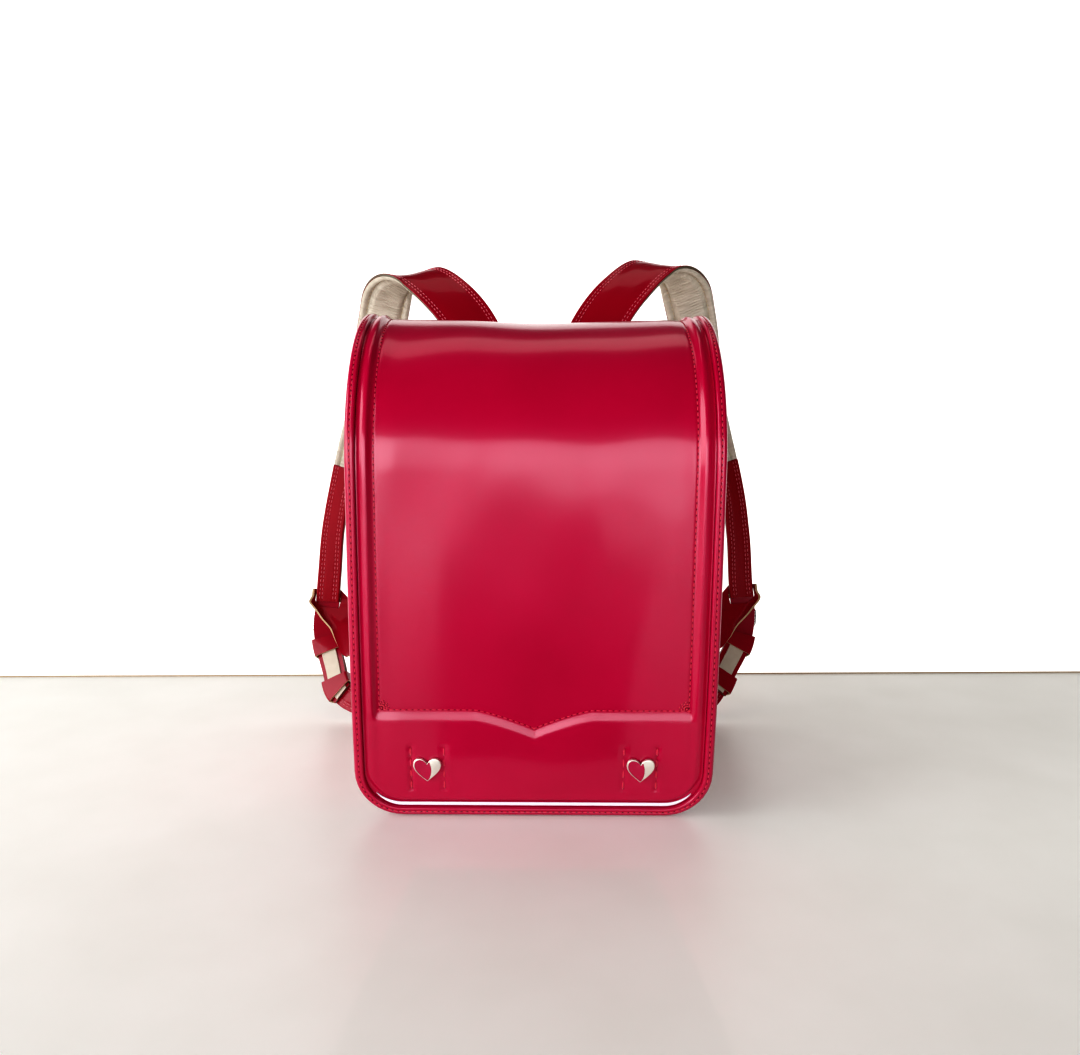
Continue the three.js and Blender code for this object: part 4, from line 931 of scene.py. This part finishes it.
tracks = {"left": strapTrack(-1, "left"), "right": strapTrack(1, "right")}
for label, track in tracks.items():
    makeStrapBands(track, label)
    makeGuard(track, label)
    for level in ("upper", "lower"):
        middle = track["length"] - mark[level + "Keeper"]
        makeKeeper(track, middle, f"{level}Keeper_{label}", f"keeper_{level}_{label}")
    makeBuckle(track, label)
    spot = (track["side"] * (strap["ringOut"] - dRing["width"] / 2), strap["ringPlane"], strap["ringUp"])
    wireRing("dRing_" + label, spot, dRing["width"], dRing["height"], "d_ring_" + label)

sideEye = -gussetHalf - strap["clearance"] - strap["eye"]
spot = (sideEye - sideRing["width"] / 2, -sideRing["front"], sideRing["up"])
wireRing("sideRing", spot, sideRing["width"], sideRing["height"], "side_ring")
print("straps made")


# The back cushion

cushion = {
    "half": 112, "bottom": 42, "top": 269.7, "face": 64.6, "thickness": 13.4, "corner": 24, "margin": 5,
    "start": 7.5, "voxel": 5, "pressure": 4, "frames": 20, "cap": 6, "sewnHalf": 4, "channelDepth": 3.2,
    "channelWidth": 5,
}


def makeCushion():
    margin, start = cushion["margin"], cushion["start"]
    outline = roundedBox(cushion["half"] - margin, cushion["bottom"] + margin, cushion["top"] - margin,
                         cushion["corner"] - margin, 9)[:, :2]
    front = np.insert(outline, 1, cushion["face"] + (cushion["thickness"] - start) / 2, axis=1)
    back = front + (0, start, 0)
    piece = closeSheets("backCushionPad", back, front, [list(range(len(outline)))], (cushionLeather,) * 3)
    remesh = piece.modifiers.new("evenMesh", "REMESH")
    remesh.mode, remesh.voxel_size = "VOXEL", cushion["voxel"] / 1000
    bake(piece)
    puff(piece)
    shapeCushion(piece)
    dress(piece, "cushion_leather", "back_cushion")


def puff(piece):
    scene = bpy.context.scene
    start = np.zeros(len(piece.data.vertices) * 3)
    piece.data.vertices.foreach_get("co", start)
    group = piece.vertex_groups.new(name="sewn")  # the middle channel stays put
    for vertex in piece.data.vertices:
        if abs(vertex.co.x) < cushion["sewnHalf"] / 1000:
            group.add([vertex.index], 1.0, "REPLACE")
    cloth = piece.modifiers.new("padding", "CLOTH")
    cloth.settings.use_pressure = True
    cloth.settings.uniform_pressure_force = cushion["pressure"]
    cloth.settings.effector_weights.gravity = 0
    cloth.settings.vertex_group_mass = "sewn"
    for number in range(1, cushion["frames"] + 1):
        scene.frame_set(number)
    bake(piece)
    scene.frame_set(1)
    moved = np.zeros_like(start)
    piece.data.vertices.foreach_get("co", moved)
    step = (moved - start).reshape(-1, 3)
    far = np.linalg.norm(step, axis=1)[:, None]
    cap = cushion["cap"] / 1000
    step = np.where(far > cap, step * cap / np.maximum(far, 1e-9), step)
    piece.data.vertices.foreach_set("co", (start.reshape(-1, 3) + step).ravel())


def shapeCushion(piece):  # keeps the pad in its place and sews a channel down its middle
    finer = piece.modifiers.new("finer", "SUBSURF")
    finer.levels = finer.render_levels = 1
    bake(piece)
    points = np.zeros(len(piece.data.vertices) * 3)
    piece.data.vertices.foreach_get("co", points)
    points = points.reshape(-1, 3)
    x, y, z = points.T
    low = cushion["face"] / 1000 + middleY
    high = low + cushion["thickness"] / 1000
    channel = cushion["channelDepth"] / 1000 * bump(x * 1000, cushion["channelWidth"])
    points[:, 1] = np.clip(np.where(y > (low + high) / 2, y - channel, y), low, high)
    edge = cushion["half"] / 1000
    points[:, 0] = np.clip(x, -edge, edge)
    points[:, 2] = np.clip(z, cushion["bottom"] / 1000, cushion["top"] / 1000)
    piece.data.vertices.foreach_set("co", points.ravel())
    piece.data.shade_smooth()


makeCushion()
print("cushion made")


# The sewing

stitch = {"uneven": (0.88, 1.1), "seed": 3, "lift": 0.12, "cornerLift": 0.1, "bindingLift": 0.35,
          "skin": 0.1, "proud": 0.2, "proudUnder": 0.15, "liningDepth": 1.25, "sample": 3.0}
# pitch, length and thickness of the thread lumps, and of the dark dots of painted needle-hole shade between
# them
sewn = {"seam": (4.1, 3.1, 0.95), "hole": (4.1, 0.8, 0.9), "strap": (4.1, 3.1, 0.9),
        "leaf": (1.7, 1.5, 1.05), "leafHoleShade": (1.7, 0.5, 0.7)}


def stitchTree():  # resamples each seam line and lays one thread lump at every step
    tree = bpy.data.node_groups.new("sewnStitches", "GeometryNodeTree")
    kinds = {"Geometry": "Geometry", "Pitch": "Float", "Length": "Float", "Thickness": "Float",
             "Shift": "Float", "Seed": "Int", "Thread": "Material"}
    names = {}
    for name, kind in kinds.items():
        socket = tree.interface.new_socket(name=name, in_out="INPUT", socket_type="NodeSocket" + kind)
        names[name] = socket.identifier
    tree.interface.new_socket(name="Geometry", in_out="OUTPUT", socket_type="NodeSocketGeometry")
    given = tree.nodes.new("NodeGroupInput").outputs
    line = addNode(tree, "GeometryNodeMeshToCurve", {"Mesh": given["Geometry"]})
    steps = addNode(tree, "GeometryNodeResampleCurve", {
        "Curve": line.outputs["Curve"], "Length": given["Pitch"]}, mode="LENGTH")
    tangent = addNode(tree, "GeometryNodeInputTangent").outputs["Tangent"]
    outward = addNode(tree, "GeometryNodeInputNamedAttribute", {"Name": "outward"}, data_type="FLOAT_VECTOR")
    along = addNode(tree, "ShaderNodeVectorMath", {0: tangent, "Scale": given["Shift"]}, operation="SCALE")
    moved = addNode(tree, "GeometryNodeSetPosition", {
        "Geometry": steps.outputs["Curve"], "Offset": along.outputs["Vector"]})
    turn = addNode(tree, "FunctionNodeAxesToRotation", {
        "Primary Axis": tangent, "Secondary Axis": outward.outputs["Attribute"]},
        primary_axis="X", secondary_axis="Z")
    lump = addNode(tree, "GeometryNodeMeshUVSphere", {"Segments": 6, "Rings": 4, "Radius": 0.5})
    shortest, longest = stitch["uneven"]
    vary = addNode(tree, "FunctionNodeRandomValue", {
        2: shortest, 3: longest, "Seed": given["Seed"]}, data_type="FLOAT")
    long = addNode(tree, "ShaderNodeMath", {0: given["Length"], 1: vary.outputs[1]}, operation="MULTIPLY")
    size = addNode(tree, "ShaderNodeCombineXYZ", {
        "X": long.outputs[0], "Y": given["Thickness"], "Z": given["Thickness"]})
    laid = addNode(tree, "GeometryNodeInstanceOnPoints", {
        "Points": moved.outputs["Geometry"], "Instance": lump.outputs["Mesh"],
        "Rotation": turn.outputs["Rotation"], "Scale": size.outputs["Vector"]})
    real = addNode(tree, "GeometryNodeRealizeInstances", {"Geometry": laid.outputs["Instances"]})
    soft = addNode(tree, "GeometryNodeSetShadeSmooth", {"Geometry": real.outputs["Geometry"]})
    done = addNode(tree, "GeometryNodeSetMaterial", {
        "Geometry": soft.outputs["Geometry"], "Material": given["Thread"]})
    addNode(tree, "NodeGroupOutput", {"Geometry": done.outputs["Geometry"]})
    return tree, names


sewing, sewingInputs = stitchTree()


def sewLines(name, lines, thread, size, slot="red_leather", between=False):
    points = np.concatenate([inFrame(line) for line, _ in lines])
    outward = np.concatenate([np.asarray(normals, float) for _, normals in lines])
    edges, start = [], 0
    for line, _ in lines:
        edges += [(start + at, start + at + 1) for at in range(len(line) - 1)]
        start += len(line)
    mesh = bpy.data.meshes.new(name)
    mesh.from_pydata(points.tolist(), edges, [])
    attribute = mesh.attributes.new("outward", "FLOAT_VECTOR", "POINT")
    attribute.data.foreach_set("vector", outward.ravel())
    piece = linkPiece(name, mesh)
    nodes = piece.modifiers.new("stitches", "NODES")
    nodes.node_group = sewing
    pitch, length, thickness = (measure / 1000 for measure in size)
    shift = pitch / 2 if between else 0.0
    values = {"Pitch": pitch, "Length": length, "Thickness": thickness, "Shift": shift,
              "Seed": stitch["seed"], "Thread": thread}
    for key, value in values.items():
        nodes[sewingInputs[key]] = value
    bake(piece)
    dress(piece, slot)


def flapSeam(x, s, lift):  # a line on the flap's face, and the way out along it
    points = onFlap(x, s, flapRelief(x, s) + lift)
    return points, onFlap(x, s, 1) - onFlap(x, s, 0)


def flapSeams():
    path = ribAt(bindingShape["dipAt"], 2.0, 30).T
    height = flap["bindingRise"] - bindingShape["dip"] + stitch["bindingLift"]
    lines = [(onFlap(*path, height), onFlap(*path, 1) - onFlap(*path, 0))]
    seamX = flap["width"] / 2 - flap["seam"]
    sideS = np.arange(footLine(seamX) + flap["seamUp"], flapLength - 2, stitch["sample"])
    for side in (-1, 1):
        lines.append(flapSeam(np.full(len(sideS), side * seamX), sideS, stitch["lift"]))
    for side in (-1, 1):
        across = np.linspace(side * seamX, side * 0.6, 90)
        lines.append(flapSeam(across, footLine(across) + flap["seamUp"], stitch["lift"]))
    return lines


leafCorner = {"out": 1.6, "up": 2.8, "size": 5.2, "slender": 0.22, "leans": (12, 45, 78)}


def cornerLeaves():  # a small sewn sprig of three leaves inside each lower corner of the panel
    lines = []
    turn = np.linspace(0, 2 * math.pi, 25)
    size = leafCorner["size"]
    rootS = flap["footHeight"] + leafCorner["up"]
    for side in (-1, 1):
        rootX = side * (flap["width"] / 2 - flap["seam"] - leafCorner["out"])
        for lean in leafCorner["leans"]:
            a = math.radians(lean)
            along = size * (0.5 - 0.5 * np.cos(turn))
            across = size * leafCorner["slender"] * np.sin(turn) * np.sin(along / size * math.pi) ** 0.5
            x = rootX - side * (along * math.cos(a) - across * math.sin(a))
            s = rootS + along * math.sin(a) + across * math.cos(a)
            lines.append(flapSeam(x, s, stitch["cornerLift"]))
    return lines


def heartSeams():
    lines = []
    reach = heart["stitchPitch"] * (heart["stitchCount"] - 1) / 2
    s = np.linspace(heart["up"] - reach, heart["up"] + reach, 12)
    for centre in (-heart["spread"] / 2, heart["spread"] / 2):
        for out in (-heart["stitchOut"], heart["stitchOut"]):
            lines.append(flapSeam(np.full(len(s), centre + out), s, stitch["cornerLift"]))
    return lines


def strapSeams(track, start, end, height, towards, rows=strap["seams"], inset=0.0):
    lines = []
    s = np.arange(start, end, stitch["sample"])
    for side in (-1, 1):
        for row in rows:
            w = side * (strapHalf(track, s) - inset - row)
            up = onStrap(track, s, w, 1) - onStrap(track, s, w, 0)
            lines.append((onStrap(track, s, w, height), towards * up))
    return lines


board = {"half": 126.3, "top": 300, "corner": 25, "face": 64.3, "seam": 2.6}
gussetSeam = {"bottom": 40, "top": 286, "step": 4.0, "front": -54, "back": 52}


def boardSeam():  # round the stiff back, just inside its binding
    seam = board["seam"]
    outline = roundedBox(board["half"] - seam, seam, board["top"] - seam, board["corner"], 9)[:, :2]
    loop = np.concatenate([outline, outline[:1]])
    points = np.insert(loop, 1, board["face"] + stitch["skin"], axis=1)
    return points, np.tile((0, 1, 0), (len(points), 1))


def gussetSeams():
    lines = []
    heights = np.arange(gussetSeam["bottom"], gussetSeam["top"], gussetSeam["step"])
    for side in (-1, 1):
        x = side * (gussetHalf + stitch["skin"])
        for y in (gussetSeam["front"], gussetSeam["back"]):
            points = np.array([(x, y, z) for z in heights])
            lines.append((points, np.tile((side, 0, 0), (len(points), 1))))
    return lines


def strapAndLiningSeams():
    strapLines, liningLines = [], []
    thick, gap, dip = strap["thickness"], strap["clearance"], strap["seamDip"]
    proud, proudUnder = stitch["proud"], stitch["proudUnder"]
    for track in tracks.values():
        end = track["length"]
        slot, split = end - mark["slot"], end - mark["liningEnd"]
        # start, end, height, the side it faces
        for seam in ((3, slot - 2, thick - dip + proud, 1),
                     (split + 3, slot - 6, -gap - strap["facing"] + dip - proudUnder, -1),
                     (end - mark["tipEnd"] + 2, end - 8, thick + gap + dip - proudUnder, -1),
                     (end - mark["lowerStrap"] + 22, end - 8, 2 * thick + gap - dip + proud, 1)):
            strapLines += strapSeams(track, *seam)
        rim = -gap - stitch["liningDepth"]
        liningLines += strapSeams(track, 20, split - 3, rim, -1, pad["seams"], pad["inset"])
    return strapLines, liningLines


def sew():
    body = flapSeams() + gussetSeams() + [boardSeam()]
    sewLines("flapAndBodyStitches", body, redThread, sewn["seam"])
    # dark dots laid between the stitches paint the shade of the needle holes
    sewLines("flapHoleShadeDots", flapSeams(), holeShadePaint, sewn["hole"], between=True)
    sewLines("cornerLeafStitches", cornerLeaves(), redThread, sewn["leaf"])
    sewLines("cornerLeafHoleShadeDots", cornerLeaves(), holeShadePaint, sewn["leafHoleShade"], between=True)
    knots = (heart["stitchPitch"], heart["stitchLength"], heart["stitchThickness"])
    sewLines("heartStitches", heartSeams(), redThread, knots)
    strapLines, liningLines = strapAndLiningSeams()
    sewLines("strapStitches", strapLines, paleThread, sewn["strap"], "dark_red_leather")
    sewLines("liningStitches", liningLines, creamThread, sewn["strap"], "cream_lining")


sew()
print("sewing done")


# Floor, light and camera

stage = {
    "edgeY": 234, "edgeTurn": 1.8, "front": -4000, "side": 5000, "shadowLineHeight": 1.6, "sweepStart": 400,
    "sweepDrop": 1.5, "sweepBend": 800, "sweepY": 2600, "sweepRise": 2600,
    "rugHalf": 58, "rugSpread": 565, "rugNear": -170, "rugFar": -1900, "rugLift": 2,
}


def makeStage():
    # Pale plaster, smooth enough to mirror the bag's foot faintly
    floorPaint = plainSurface("palePlasterFloor", ("#F3F5F2", "#E8EAE5"), 0.36, 90, 0.02, IOR=1.45,
                              Emission_Color=tint("#FFFCF6"), Emission_Strength=0.05)
    # Nearly black pile without shine
    rug = plainSurface("darkRug", ("#181214", "#120E10"), 0.9, 20, 0.1, IOR=1.3)
    # Matt paper that is white and even behind the bag
    paper = plainSurface("whiteSweepPaper", ("#8E8D8B", "#8A8987"), 0.9, 200, 0.01, IOR=1.3,
                         Emission_Color=tint("#FFFDFA"), Emission_Strength=0.78)
    # A thin sand-brown strip standing where the floor ends: the painted shadow line at the foot of the
    # backdrop
    footShadowPaint = plainSurface("paintedWallFootShadow", ("#B4A48C", "#A08E76"), 0.8, 8, 0.1, IOR=1.4)
    side, edge = stage["side"], stage["edgeY"]
    slope = math.tan(math.radians(stage["edgeTurn"])) * side
    line = [(-side, edge - slope, 0), (side, edge + slope, 0)]
    floorPoints = [(-side, stage["front"], 0), (side, stage["front"], 0)] + line[::-1]
    floor = makePiece("floor", floorPoints, [[0, 1, 2, 3]], [floorPaint])
    # a low strip along the floor's far edge that paints the shadow line where floor meets backdrop
    raised = [(x, y, stage["shadowLineHeight"]) for x, y, _ in line]
    gap = makePiece("wallFootShadowStrip", line + raised, [[0, 1, 3, 2]], [footShadowPaint])
    bend, drop = stage["sweepBend"], stage["sweepDrop"]
    run = [(edge - stage["sweepStart"], -drop)]
    for a in np.linspace(0, math.pi / 2, 13):
        run.append((stage["sweepY"] - bend + bend * math.sin(a), bend - bend * math.cos(a) - drop))
    run.append((stage["sweepY"], stage["sweepRise"]))
    sheet = [(x, y, z) for y, z in run for x in (-side, side)]
    sweep = makePiece("whiteSweep", sheet, gridFaces(len(run), 2), [paper])
    far, near = stage["rugFar"], stage["rugNear"]
    rugPoints = []
    for y, hand in ((far, -1), (far, 1), (near, 1), (near, -1)):
        rugPoints.append((hand * stage["rugHalf"] * (1 - y / stage["rugSpread"]), y, stage["rugLift"]))
    mat = makePiece("cameraRug", rugPoints, [[0, 1, 2, 3]], [rug])
    # The rug only darkens what the flap mirrors
    mat.visible_camera = mat.visible_diffuse = mat.visible_shadow = False


makeStage()

# name, place, aim, size, radiance, whether the leather mirrors it, colour
lights = [
    ("leftWindow", (-1150, -2100, 540), (0, -60, 230), (1850, 980), 3.7, True, "#FAFAFF"),
    ("rightWindow", (620, -2100, 480), (0, -60, 230), (1000, 860), 2.7, True, "#FAFAFF"),
    ("middleWindow", (-52, -2100, 500), (-52, -60, 500), (345, 900), 2.6, True, "#FAFAFF"),
    ("topStrip", (-100, 260, 1700), (0, 60, 300), (1400, 450), 0.95, True, "#FFF0E4"),
    ("ceilingFill", (-300, -500, 2300), (0, 0, 0), (3200, 2600), 0.06, False, "#FFDDBB"),
    ("leftFill", (-1900, -700, 900), (0, 0, 200), (1400, 1400), 2.9, True, "#FFFFFF"),
]
# The colour and strength of what lights, of what is mirrored and of what the camera sees
air = [("#F6F0EA", 0.07), ("#C8BEB8", 0.06), ("#FFFFFF", 1.0)]


def makeLight(name, place, aim, size, radiance, mirrored, colour):
    data = bpy.data.lights.new(name, "AREA")
    data.shape, data.size, data.size_y = "RECTANGLE", size[0] / 1000, size[1] / 1000
    data.color = tint(colour)[:3]
    data.energy = radiance * math.pi * data.size * data.size_y
    lamp = bpy.data.objects.new(name, data)
    lamp.location = Vector(inFrame(place))
    direction = Vector(inFrame(aim)) - lamp.location
    lamp.rotation_euler = direction.to_track_quat("-Z", "Y").to_euler()
    lamp.visible_camera = False
    lamp.visible_glossy = mirrored
    bpy.context.scene.collection.objects.link(lamp)


def makeWorld():
    world = bpy.data.worlds.new("studioAir")
    bpy.context.scene.world = world
    world.use_nodes = True
    tree = world.node_tree
    tree.nodes.clear()
    path = addNode(tree, "ShaderNodeLightPath").outputs
    lit, mirrored, seen = (
        addNode(tree, "ShaderNodeBackground", {"Color": tint(colour), "Strength": strength}).outputs[0]
        for colour, strength in air)
    unseen = addNode(tree, "ShaderNodeMixShader", {0: path["Is Glossy Ray"], 1: lit, 2: mirrored})
    mixed = addNode(tree, "ShaderNodeMixShader", {0: path["Is Camera Ray"], 1: unseen.outputs[0], 2: seen})
    addNode(tree, "ShaderNodeOutputWorld", {"Surface": mixed.outputs[0]})


for row in lights:
    makeLight(*row)
makeWorld()

view = {"at": (-2.5, -676.8, 284), "pitch": 8.1, "roll": 0.3, "focal": 850, "frameWidth": 1080,
        "principal": (531.5, 537), "frameHeight": 1055}


def makeCamera():
    data = bpy.data.cameras.new("photoCamera")
    data.sensor_width = 36
    data.lens = view["focal"] * data.sensor_width / view["frameWidth"]
    data.shift_x = (view["frameWidth"] / 2 - view["principal"][0]) / view["frameWidth"]
    data.shift_y = (view["principal"][1] - view["frameHeight"] / 2) / view["frameWidth"]
    camera = bpy.data.objects.new("photoCamera", data)
    camera.location = Vector(inFrame(view["at"]))
    tilt = Matrix.Rotation(math.radians(90 - view["pitch"]), 4, "X")
    roll = Matrix.Rotation(math.radians(view["roll"]), 4, "Z")
    camera.rotation_euler = (tilt @ roll).to_euler()
    bpy.context.scene.collection.objects.link(camera)
    bpy.context.scene.camera = camera


makeCamera()
bpy.context.scene.view_settings.view_transform = "Standard"
bpy.context.scene.view_settings.look = "Very High Contrast"
print("stage, lights and camera made")
